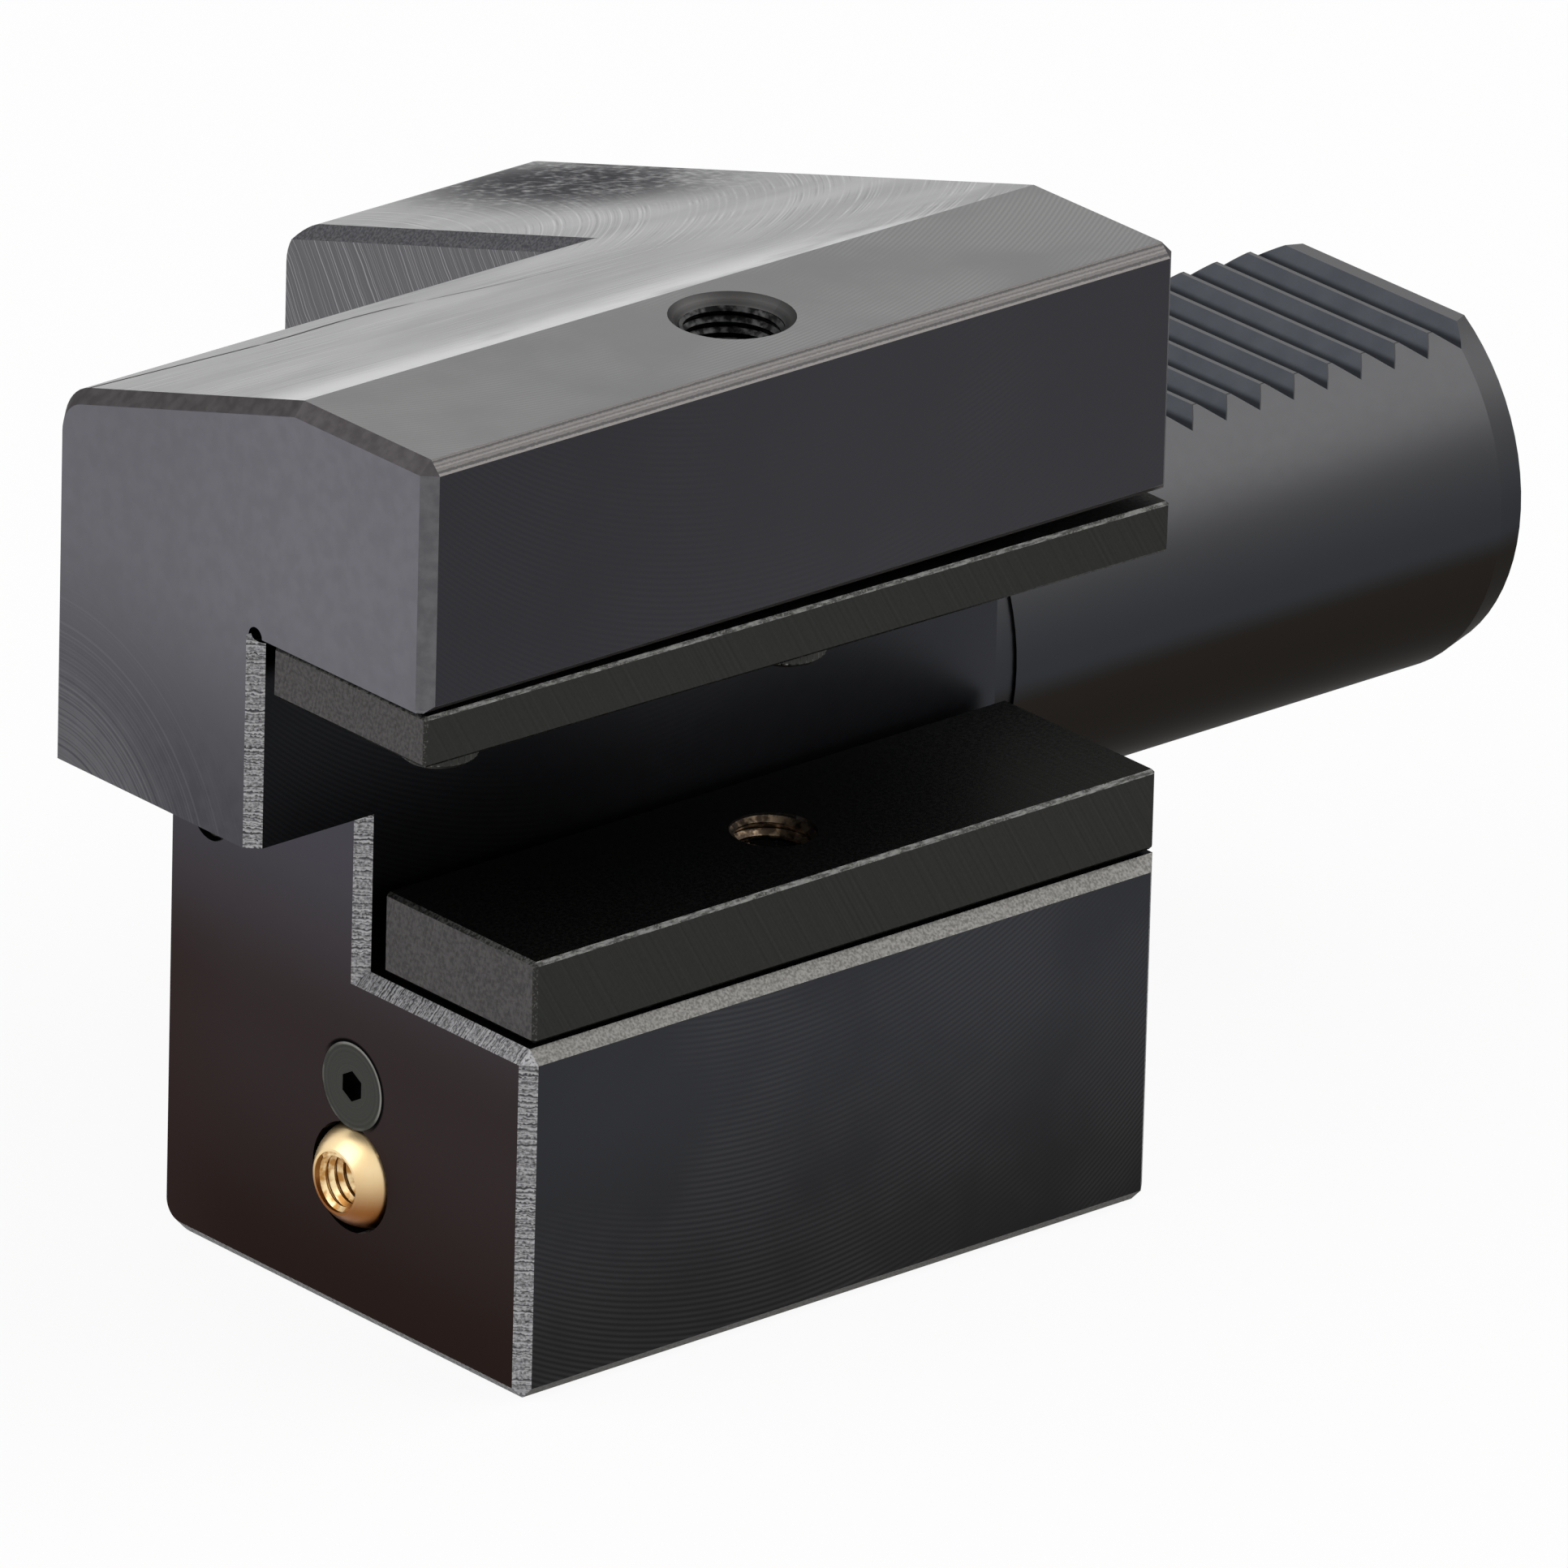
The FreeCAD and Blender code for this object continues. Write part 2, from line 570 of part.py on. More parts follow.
def build_clamping_plate():
    """Loose jaw that the clamp screws push up against the tool shank."""
    body = new_body("clamping_plate")
    sketch = new_sketch(body, "clamping_plate_outline", "XY_Plane")
    draw_rectangle(sketch, "- block_length + plate_gap_end", "- plate_gap_flange",
                   "- front_reach + plate_inset", "- front_reach + plate_inset + plate_width")
    plate = pad(body, sketch, "plate_thickness")
    dress(body, "Chamfer", "plate_edges", edges_where(plate, lambda edge: True), "plate_chamfer")
    drill(body, "plate_thread", "XY_Plane", "plate_thickness", CLAMP_MIDDLE, CLAMP_LINE,
          "retainer_radius + thread_play", "plate_thickness")
    place(body, up="- floor_drop + plate_lift")
    return body


def build_shim_plate():
    """Hardened plate under the slot ceiling, which takes up the height of a smaller tool."""
    body = new_body("shim_plate")
    sketch = new_sketch(body, "shim_plate_outline", "XY_Plane")
    draw_rectangle(sketch, "- jaw_length + shim_gap_end", "- shim_gap_flange",
                   "- front_reach + shim_inset", "- front_reach + shim_inset + shim_width")
    plate = pad(body, sketch, "shim_thickness")
    dress(body, "Chamfer", "shim_edges", edges_where(plate, lambda edge: True), "shim_chamfer")
    for label, spot, sag in SHIM_SPOTS:
        drill(body, label + "_way", "XY_Plane", "0", spot, SHIM_SCREW_LINE,
              "small_screw_radius + shim_slack", "shim_thickness", forwards=True)
        drill(body, label + "_recess", "XY_Plane", "0", spot, SHIM_SCREW_LINE,
              "small_head_radius + shim_slack", "small_head_height - shim_head_proud + shim_slack",
              forwards=True)
    place(body, up="seat_height - shim_slack - shim_thickness - shim_sag")
    body.Placement.Rotation = FreeCAD.Rotation(FreeCAD.Vector(0, 1, 0), 1)
    body.setExpression("Placement.Rotation.Angle", "atan(%s.shim_sag / %s.jaw_length)" % (SHEET, SHEET))
    return body


def build_set_screw(label, role, radius, length, hexagon):
    """Grub screw with its point at its origin and its socket at the other end."""
    body = new_body(label)
    sketch = new_sketch(body, label + "_thread", role)
    draw_circle(sketch, "0", "0", radius)
    thread = pad(body, sketch, length, backwards=True)
    rim = edges_where(thread, far_circle(amount(length)))
    dress(body, "Chamfer", label + "_rim", rim, radius + "/8")
    sketch = new_sketch(body, label + "_socket", role, "- " + length)
    draw_hexagon(sketch, "0", "0", hexagon)
    pocket(body, sketch, hexagon, forwards=True)
    return body


def far_circle(distance):
    """Test for the round edge that lies the given distance or more from the piece's point."""
    def test(edge):
        if edge.Curve.TypeId != "Part::GeomCircle" or len(edge.Vertexes) > 1:
            return False
        return edge.Curve.Center.Length > distance - 1e-4
    return test


def build_cap_screw(label, radius, length, head_radius, head_height, hexagon):
    """Cap screw with its point at its origin, upright, head and socket downwards."""
    body = new_body(label)
    sketch = new_sketch(body, label + "_shaft", "XY_Plane")
    draw_circle(sketch, "0", "0", radius)
    pad(body, sketch, length + " + " + head_height, backwards=True)
    sketch = new_sketch(body, label + "_head", "XY_Plane", "- " + length)
    draw_circle(sketch, "0", "0", head_radius)
    head = pad(body, sketch, head_height, backwards=True)
    rim = edges_where(head, far_circle(amount(length + " + " + head_height)))
    dress(body, "Chamfer", label + "_rim", rim, head_height + "/16")
    sketch = new_sketch(body, label + "_socket", "XY_Plane", "- %s - %s" % (length, head_height))
    draw_hexagon(sketch, "0", "0", hexagon)
    pocket(body, sketch, head_height + "/2", forwards=True)
    return body


def build_keeper_screw():
    """Countersunk screw whose head holds the nozzle ball in its bore."""
    body = new_body("nozzle_retaining_screw")
    sketch = new_sketch(body, "keeper_profile", "XZ_Plane")
    corners = (
        ("0", "0"),
        ("keeper_length", "0"),
        ("keeper_length", "keeper_radius"),
        ("keeper_head_depth", "keeper_radius"),
        ("plug_sink/2", "keeper_head_radius"),
        ("0", "keeper_head_radius"),
    )
    draw_outline(sketch, corners)
    revolve(body, sketch)
    sketch = new_sketch(body, "keeper_socket", "YZ_Plane")
    draw_hexagon(sketch, "0", "0", "keeper_hex")
    pocket(body, sketch, "keeper_head_depth", forwards=True)
    place(body, "- block_length", NOZZLE_LINE, KEEPER_HEIGHT)
    return body


def primitive(kind, name, **sizes):
    """Part primitive with its axis along X, its measures bound to the sheet."""
    item = doc.addObject("Part::" + kind, name)
    for prop, text in sizes.items():
        bind(item, prop, text)
    item.Placement.Rotation = FreeCAD.Rotation(FreeCAD.Vector(0, 1, 0), 90)
    return item


def combine(kind, name, base, tool):
    item = doc.addObject("Part::" + kind, name)
    item.Base = base
    item.Tool = tool
    return item


def build_ball_nozzle():
    """Ball with front and rear flats, an M6 bore for a jet pipe and a narrower jet bore."""
    ball = primitive("Sphere", "ball", Radius="ball_radius")
    trim = primitive("Cylinder", "ball_trim", Radius="ball_radius + ball_play",
                     Height="ball_flat + ball_flat")
    place(trim, "- ball_flat")
    flats = combine("Common", "trimmed_ball", ball, trim)
    thread = primitive("Cylinder", "ball_thread", Radius="ball_thread_radius", Height="ball_thread_depth")
    place(thread, "- ball_flat")
    jet = primitive("Cylinder", "ball_jet", Radius="ball_jet_radius", Height="ball_flat + ball_flat")
    place(jet, "- ball_flat")
    threaded = combine("Cut", "threaded_ball", flats, thread)
    nozzle = combine("Cut", "ball_nozzle", threaded, jet)
    nozzle.Label = "ball_nozzle"
    place(nozzle, BALL_MIDDLE, NOZZLE_LINE, NOZZLE_LEVEL)
    return nozzle


def build_seat_ring():
    """Ring behind the ball, hollowed to the ball's shape."""
    blank = primitive("Cylinder", "seat_blank", Radius="ball_radius", Height="seat_ring_length")
    place(blank, "seat_ring_start")
    hole = primitive("Cylinder", "seat_hole", Radius="seat_ring_bore",
                     Height="seat_ring_start + seat_ring_length")
    pierced = combine("Cut", "seat_pierced", blank, hole)
    socket = primitive("Sphere", "seat_socket", Radius="ball_radius + ball_play")
    ring = combine("Cut", "nozzle_seat_ring", pierced, socket)
    ring.Label = "nozzle_seat_ring"
    place(ring, BALL_MIDDLE, NOZZLE_LINE, NOZZLE_LEVEL)
    return ring


def build_seal(label, outer, across):
    """Rubber ring of square section about an axis along X, inside the given outer radius."""
    body = new_body(label)
    rim = outer + " - ball_play"
    sketch = new_sketch(body, label + "_section", "XZ_Plane")
    draw_rectangle(sketch, "- seal_wire", "seal_wire", rim + " - seal_wire - seal_wire", rim)
    revolve(body, sketch)
    place(body, across, NOZZLE_LINE, NOZZLE_LEVEL)
    return body


def build_washer():
    """Washer between the return spring and the head of the retaining screw."""
    body = new_body("spring_washer")
    sketch = new_sketch(body, "washer_outline", "XY_Plane")
    draw_circle(sketch, "0", "0", "spring_pocket_radius - washer_room")
    draw_circle(sketch, "0", "0", "retainer_radius + thread_play")
    pad(body, sketch, "washer_thickness")
    place(body, CLAMP_MIDDLE, CLAMP_LINE, UNDER_HEAD)
    return body


def build_spring():
    """Coil spring that draws the clamping plate back down, as tall as its room."""
    wire = amount("spring_wire")
    coil = amount("spring_pocket_radius - spring_room") - wire
    low = amount(UNDER_HEAD + " + washer_thickness") + wire
    high = amount("- floor_drop - spring_seat_depth") - wire
    turns = amount("spring_turns")
    helix = Part.makeHelix((high - low) / turns, high - low, coil)
    section = []
    for step in range(WIRE_SIDES + 1):
        turn = 2 * math.pi * step / WIRE_SIDES
        section.append(FreeCAD.Vector(coil + wire * math.cos(turn), 0, wire * math.sin(turn)))
    pipe = Part.Wire(helix.Edges).makePipeShell([Part.makePolygon(section)], True, True)
    spring = doc.addObject("Part::Feature", "plate_return_spring")
    spring.Label = "plate_return_spring"
    spring.Shape = pipe
    spring.Placement.Base = FreeCAD.Vector(amount(CLAMP_MIDDLE), amount(CLAMP_LINE), low)
    return spring


def build_pieces():
    """Every separate piece of the holder, in its place."""
    pieces = [build_holder_body(), build_clamping_plate(), build_shim_plate()]
    for label, spot in CLAMP_SPOTS:
        screw = build_set_screw(label, "XY_Plane", "clamp_radius", "clamp_length", "clamp_hex")
        place(screw, spot, CLAMP_LINE, "- floor_drop + plate_lift")
        pieces.append(screw)
    retainer = build_cap_screw("plate_retaining_screw", "retainer_radius", "retainer_length",
                               "retainer_head_radius", "retainer_head_height", "retainer_hex")
    place(retainer, CLAMP_MIDDLE, CLAMP_LINE, RETAINER_POINT)
    pieces += [retainer, build_washer(), build_spring()]
    for label, spot, sag in SHIM_SPOTS:
        screw = build_cap_screw(label, "small_screw_radius", "small_screw_length", "small_head_radius",
                                "small_head_height", "small_hex")
        head_low = "seat_height - shim_slack - shim_thickness - shim_head_proud - " + sag
        place(screw, spot, SHIM_SCREW_LINE, head_low + " + small_head_height + small_screw_length")
        pieces.append(screw)
    pieces += [build_ball_nozzle(), build_seat_ring(), build_keeper_screw()]
    seal_place = BALL_MIDDLE + " + seat_ring_start + seat_ring_length + seal_wire"
    pieces.append(build_seal("nozzle_seal", "ball_radius + ball_play", seal_place))
    pieces.append(build_seal("coolant_inlet_seal", "inlet_recess_radius", "- inlet_recess_depth + seal_wire"))
    plug_seats = (
        ("end_channel_plug", "YZ_Plane", "- block_length + plug_sink + plug_length", "branch_y", "- branch_z"),
        ("rear_channel_plug", "XZ_Plane", BRANCH_LINE, "block_rear - plug_sink - plug_length", NOZZLE_LEVEL),
        ("base_channel_plug", "XY_Plane", BRANCH_LINE, "branch_y", "- base_drop + plug_sink + plug_length"),
    )
    for label, role, across, along, up in plug_seats:
        plug = build_set_screw(label, role, "plug_radius", "plug_length", "plug_hex")
        place(plug, across, along, up)
        pieces.append(plug)
    return pieces


def check_pieces(pieces):
    doc.recompute()
    failed = []
    for item in doc.Objects:
        if "Invalid" in item.State or "Error" in item.State:
            failed.append(item.Name)
    for piece in pieces:
        if piece.Shape.isNull() or not piece.Shape.isValid():
            failed.append(piece.Label)
    if failed:
        raise RuntimeError("failed: %s" % ", ".join(failed))


pieces = build_pieces()
check_pieces(pieces)
os.makedirs("parts", exist_ok=True)
for piece in pieces:
    piece.Shape.exportStep(os.path.join("parts", piece.Label + ".step"))
    box = piece.Shape.BoundBox
    print("%-24s volume %9.1f solids %d" % (piece.Label, piece.Shape.Volume, len(piece.Shape.Solids)))
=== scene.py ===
import math
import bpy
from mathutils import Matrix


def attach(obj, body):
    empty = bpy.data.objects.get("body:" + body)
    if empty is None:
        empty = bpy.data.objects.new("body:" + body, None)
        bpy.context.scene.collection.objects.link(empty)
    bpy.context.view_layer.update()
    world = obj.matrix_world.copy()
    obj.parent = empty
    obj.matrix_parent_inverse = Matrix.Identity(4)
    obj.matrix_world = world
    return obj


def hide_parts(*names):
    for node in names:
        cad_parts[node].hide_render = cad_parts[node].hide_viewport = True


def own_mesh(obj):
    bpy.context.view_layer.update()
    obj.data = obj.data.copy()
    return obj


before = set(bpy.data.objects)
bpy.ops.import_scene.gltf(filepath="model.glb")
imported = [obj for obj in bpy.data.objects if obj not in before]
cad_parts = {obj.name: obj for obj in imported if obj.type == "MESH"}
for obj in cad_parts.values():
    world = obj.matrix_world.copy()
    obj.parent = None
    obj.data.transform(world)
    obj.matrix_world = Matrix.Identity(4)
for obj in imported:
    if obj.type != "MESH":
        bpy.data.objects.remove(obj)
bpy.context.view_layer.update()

from types import SimpleNamespace

import bpy
from mathutils import Matrix, Vector

MM = 0.001

# Sizes and places of the solids, in millimetres.
BASE_DROP = 42.5
TOP_HEIGHT = 48.0
PLATE_TOP = -1.7
CLAMP_LINE = -31.6
CLAMP_MIDDLE = -35.65
CLAMP_SPOTS = (-58.65, -12.65)
TOP_HOLE = (-42.0, -31.75)
NOZZLE = (-70.2, -19.2, -29.1)
KEEPER_RISE = 8.6

# Places along the shank axis that part shank from block, and the flange's back from the ends of the jaw
# and the block.
SHANK_START = 0.3
BEHIND_FLANGE = -40.0

# The floor lies this far under the base, in millimetres.
FLOOR_GAP = 0.05

# A face is square to an axis where its normal reaches this far along it.
SQUARE_ON = 0.95

# Holds back the brightening of dark steel at a grazing angle.
GRAZING_TINT = (0.5, 0.5, 0.5, 1.0)


class Shade:
    """A node material that is built up with short calls."""

    def __init__(self, name):
        self.material = bpy.data.materials.new(name)
        self.material.use_nodes = True
        self.tree = self.material.node_tree
        self.tree.nodes.clear()
        output = self.tree.nodes.new("ShaderNodeOutputMaterial")
        self.shader = self.tree.nodes.new("ShaderNodeBsdfPrincipled")
        self.tree.links.new(self.shader.outputs[0], output.inputs[0])
        self.place = self.tree.nodes.new("ShaderNodeTexCoord")
        scaled = self.tree.nodes.new("ShaderNodeVectorMath")
        scaled.operation = "SCALE"
        scaled.inputs["Scale"].default_value = 1 / MM
        self.tree.links.new(self.place.outputs["Object"], scaled.inputs[0])
        self.point = scaled.outputs[0]
        self.x, self.y, self.z = self.split(self.point)
        self.nx, self.ny, self.nz = self.split(self.place.outputs["Normal"])

    def feed(self, socket, value):
        if isinstance(value, bpy.types.NodeSocket):
            self.tree.links.new(value, socket)
        elif isinstance(value, tuple) and len(value) == 3 and len(socket.default_value) == 4:
            socket.default_value = value + (1.0,)
        else:
            socket.default_value = value

    def split(self, vector):
        node = self.tree.nodes.new("ShaderNodeSeparateXYZ")
        self.tree.links.new(vector, node.inputs[0])
        return node.outputs[0], node.outputs[1], node.outputs[2]

    def join(self, x, y, z):
        node = self.tree.nodes.new("ShaderNodeCombineXYZ")
        for socket, value in zip(node.inputs, (x, y, z)):
            self.feed(socket, value)
        return node.outputs[0]

    def math(self, operation, first, second=0.0, clamp=False):
        node = self.tree.nodes.new("ShaderNodeMath")
        node.operation = operation
        node.use_clamp = clamp
        self.feed(node.inputs[0], first)
        self.feed(node.inputs[1], second)
        return node.outputs[0]

    def ramp(self, value, low, high):
        """Rises smoothly from 0 at low to 1 at high; low may be the greater."""
        node = self.tree.nodes.new("ShaderNodeMapRange")
        node.interpolation_type = "SMOOTHSTEP"
        self.feed(node.inputs["Value"], value)
        node.inputs["From Min"].default_value = low
        node.inputs["From Max"].default_value = high
        return node.outputs["Result"]

    def blend(self, factor, first, second):
        """Mix of two numbers."""
        node = self.tree.nodes.new("ShaderNodeMix")
        node.data_type = "FLOAT"
        self.feed(node.inputs[0], factor)
        self.feed(node.inputs[2], first)
        self.feed(node.inputs[3], second)
        return node.outputs[0]

    def tint(self, factor, first, second):
        """Mix of two colours."""
        node = self.tree.nodes.new("ShaderNodeMix")
        node.data_type = "RGBA"
        self.feed(node.inputs[0], factor)
        self.feed(node.inputs[6], first)
        self.feed(node.inputs[7], second)
        return node.outputs[2]

    def lines(self, along, per_mm, detail=2.0):
        """Irregular fine lines across the given coordinate, 0 to 1."""
        node = self.tree.nodes.new("ShaderNodeTexNoise")
        node.noise_dimensions = "1D"
        self.feed(node.inputs["W"], along)
        node.inputs["Scale"].default_value = per_mm
        node.inputs["Detail"].default_value = detail
        return node.outputs[0]

    def clouds(self, size, detail=3.0, stretch=(1.0, 1.0, 1.0)):
        """Soft mottling of the given size in mm, 0 to 1."""
        place = self.join(*[self.math("MULTIPLY", value, scale)
                            for value, scale in zip((self.x, self.y, self.z), stretch)])
        node = self.tree.nodes.new("ShaderNodeTexNoise")
        self.feed(node.inputs["Vector"], place)
        node.inputs["Scale"].default_value = 1.0 / size
        node.inputs["Detail"].default_value = detail
        return node.outputs[0]

    def rings(self, a, b, centre_a, centre_b):
        """Distance in mm from a centre in a plane."""
        da = self.math("SUBTRACT", a, centre_a)
        db = self.math("SUBTRACT", b, centre_b)
        squares = self.math("ADD", self.math("MULTIPLY", da, da), self.math("MULTIPLY", db, db))
        return self.math("SQRT", squares)

    def passes(self, along, across, centre, radius):
        """Coordinate that is constant on each arc a face cutter leaves as it is fed along."""
        off = self.math("SUBTRACT", across, centre)
        rest = self.math("SUBTRACT", radius * radius, self.math("MULTIPLY", off, off))
        return self.math("ADD", along, self.math("SQRT", rest))

    def feed_marks(self, along, pitch):
        """Even ridges across the given coordinate, 0 to 1."""
        wave = self.math("SINE", self.math("MULTIPLY", along, 2 * math.pi / pitch))
        return self.math("ADD", self.math("MULTIPLY", wave, 0.5), 0.5)

    def both(self, first, second):
        return self.math("MULTIPLY", first, second)

    def slanting(self):
        """1 on chamfers at 45 degrees between two axes and on the corners where three of them meet."""
        sizes = [self.math("ABSOLUTE", value) for value in (self.nx, self.ny, self.nz)]
        largest = self.math("MAXIMUM", self.math("MAXIMUM", sizes[0], sizes[1]), sizes[2])
        off_edge = self.math("ABSOLUTE", self.math("SUBTRACT", largest, math.sqrt(1 / 2)))
        off_corner = self.math("ABSOLUTE", self.math("SUBTRACT", largest, math.sqrt(1 / 3)))
        return self.math("LESS_THAN", self.math("MINIMUM", off_edge, off_corner), 0.03)

    def bump(self, height, strength, distance_mm=0.05):
        node = self.tree.nodes.new("ShaderNodeBump")
        node.inputs["Strength"].default_value = strength
        node.inputs["Distance"].default_value = distance_mm * MM
        self.feed(node.inputs["Height"], height)
        self.feed(self.shader.inputs["Normal"], node.outputs[0])

    def finish(self, colour, roughness, metallic=0.0):
        self.feed(self.shader.inputs["Base Color"], colour)
        self.feed(self.shader.inputs["Roughness"], roughness)
        self.shader.inputs["Metallic"].default_value = metallic
        return self.material


def holder_faces(s):
    """Masks, 0 or 1, for the faces of the holder body that look different."""
    shank = s.math("GREATER_THAN", s.x, SHANK_START)
    block = s.math("SUBTRACT", 1.0, shank)
    from_axis = s.rings(s.y, s.z, 0.0, 0.0)
    shank_end = s.both(shank, s.math("GREATER_THAN", s.nx, SQUARE_ON))
    across_rack = s.both(s.math("LESS_THAN", s.math("ABSOLUTE", s.ny), 0.1),
                         s.math("LESS_THAN", s.nx, SQUARE_ON))
    within_rack = s.both(s.math("GREATER_THAN", s.x, 3.0), s.math("GREATER_THAN", s.z, 13.5))
    end = s.both(s.math("GREATER_THAN", s.math("MULTIPLY", s.nx, -1.0), SQUARE_ON), block)
    from_hole = s.rings(s.x, s.y, *TOP_HOLE)
    top_level = s.both(s.math("GREATER_THAN", s.z, 46.0), block)
    return SimpleNamespace(
        shank=shank,
        shank_end=shank_end,
        underside=s.both(s.math("SUBTRACT", shank, shank_end), s.ramp(s.z, -1.0, -4.2)),
        from_axis=from_axis,
        end=end,
        front=s.both(s.math("GREATER_THAN", s.math("MULTIPLY", s.ny, -1.0), SQUARE_ON), block),
        top=s.both(s.math("GREATER_THAN", s.nz, 0.985), top_level),
        slope=s.both(s.both(s.ramp(s.nz, 0.9, 0.93), s.ramp(s.ny, 0.2, 0.25)), block),
        chamfer=s.both(s.slanting(), block),
        upper_end=s.both(end, s.ramp(s.z, 4.0, 5.0)),
        behind=s.both(end, s.math("GREATER_THAN", s.x, BEHIND_FLANGE)),
        rack=s.both(s.both(across_rack, within_rack), s.math("LESS_THAN", from_axis, 19.9)),
        countersink=s.both(top_level, s.math("LESS_THAN", from_hole, 7.2)),
        from_hole=from_hole,
    )


def oxide_tone_with_painted_light(s, face, mottle):
    """Blackened colour of each face before marks and bare edges, with painted light and shade. The lower
    fronts, lower ends and shank underside are painted darker as a painted reflection of the floor. The upper
    ends, top and upper shank are painted paler as painted light. The rack has a painted highlight and painted
    shade.
    """
    colour = s.tint(mottle, (0.029, 0.030, 0.034), (0.037, 0.038, 0.043))
    # The fronts are painted darker towards the bottom: a painted reflection of the dark floor near the base.
    colour = s.tint(s.both(s.ramp(s.z, -16.0, -42.0), face.front), colour, (0.018, 0.0172, 0.0175))
    jaw_tone = s.tint(s.ramp(s.x, -80.0, -35.0), (0.034, 0.034, 0.039), (0.042, 0.0415, 0.047))
    colour = s.tint(s.both(face.front, s.ramp(s.z, 20.0, 26.0)), colour, jaw_tone)

    # The inner wall of the slot is painted darker towards its left end: painted shade in the recess.
    inner_wall = s.both(face.front, s.math("GREATER_THAN", s.y, -40.0))
    colour = s.tint(s.both(inner_wall, s.ramp(s.x, -30.0, -60.0)), colour, (0.012, 0.0125, 0.014))

    # The end faces are painted darker and browner towards the bottom: a painted reflection of the dark floor
    # near the base.
    end_tone = s.tint(s.ramp(s.z, 4.0, -18.0), (0.070, 0.067, 0.080), (0.037, 0.0275, 0.0275))
    end_tone = s.tint(s.ramp(s.z, -20.0, -42.0), end_tone, (0.022, 0.0136, 0.0116))
    end_tone = s.tint(s.both(s.ramp(s.y, -6.0, 14.0), s.ramp(s.z, -8.0, -20.0)), end_tone,
                      (0.032, 0.0205, 0.0195))
    colour = s.tint(face.end, colour, end_tone)
    # The upper end faces are painted paler, most high up and towards the front: a painted reflection of the
    # bright surroundings. The mottle on them is random tone.
    upper_end_painted_light = s.tint(s.ramp(s.z, 5.0, 30.0), (0.068, 0.066, 0.075), (0.152, 0.152, 0.170))
    upper_end_painted_light = s.tint(s.both(s.ramp(s.y, 0.0, -30.0), s.ramp(s.z, 15.0, 35.0)), upper_end_painted_light,
                        (0.172, 0.170, 0.190))
    upper_end_painted_light = s.tint(s.math("MULTIPLY", s.ramp(s.clouds(1.5, detail=4.0), 0.3, 0.7), 0.25), upper_end_painted_light,
                        (0.110, 0.109, 0.120))
    colour = s.tint(face.upper_end, colour, upper_end_painted_light)
    colour = s.tint(face.behind, colour, (0.132, 0.130, 0.138))

    # The top is painted paler than the sides: painted light from above.
    top_painted_light = s.tint(mottle, (0.235, 0.238, 0.242), (0.285, 0.279, 0.276))
    colour = s.tint(face.top, colour, top_painted_light)

    # The shank is painted lighter towards its top, a painted highlight added to the lamp's own. Its underside
    # is painted darker and browner, a painted reflection of the dark floor.
    shank_tone = s.tint(s.ramp(s.z, -1.0, 12.0), (0.033, 0.035, 0.040), (0.062, 0.062, 0.064))
    shank_tone = s.tint(face.underside, shank_tone, (0.0205, 0.0175, 0.0150))
    turned_end = s.tint(s.lines(face.from_axis, 2.5), (0.030, 0.030, 0.032), (0.062, 0.062, 0.065))
    shank_tone = s.tint(face.shank_end, shank_tone, turned_end)
    rack_tone = s.tint(s.clouds(3.0), (0.046, 0.051, 0.060), (0.072, 0.078, 0.088))
    shank_tone = s.tint(face.rack, shank_tone, rack_tone)
    # On the rack the crest flats are painted pale, a painted highlight, and the bottom of each groove is
    # painted dark, painted shade behind the crest in front.
    crest = s.both(face.rack, s.math("GREATER_THAN", s.nz, 0.985))
    painted_root_shade = s.both(face.rack, s.ramp(s.z, 15.05, 14.6))
    shank_tone = s.tint(s.math("MULTIPLY", painted_root_shade, 0.85), shank_tone, (0.010, 0.011, 0.013))
    shank_tone = s.tint(crest, shank_tone, (0.17, 0.17, 0.175))
    return s.tint(face.shank, colour, shank_tone)


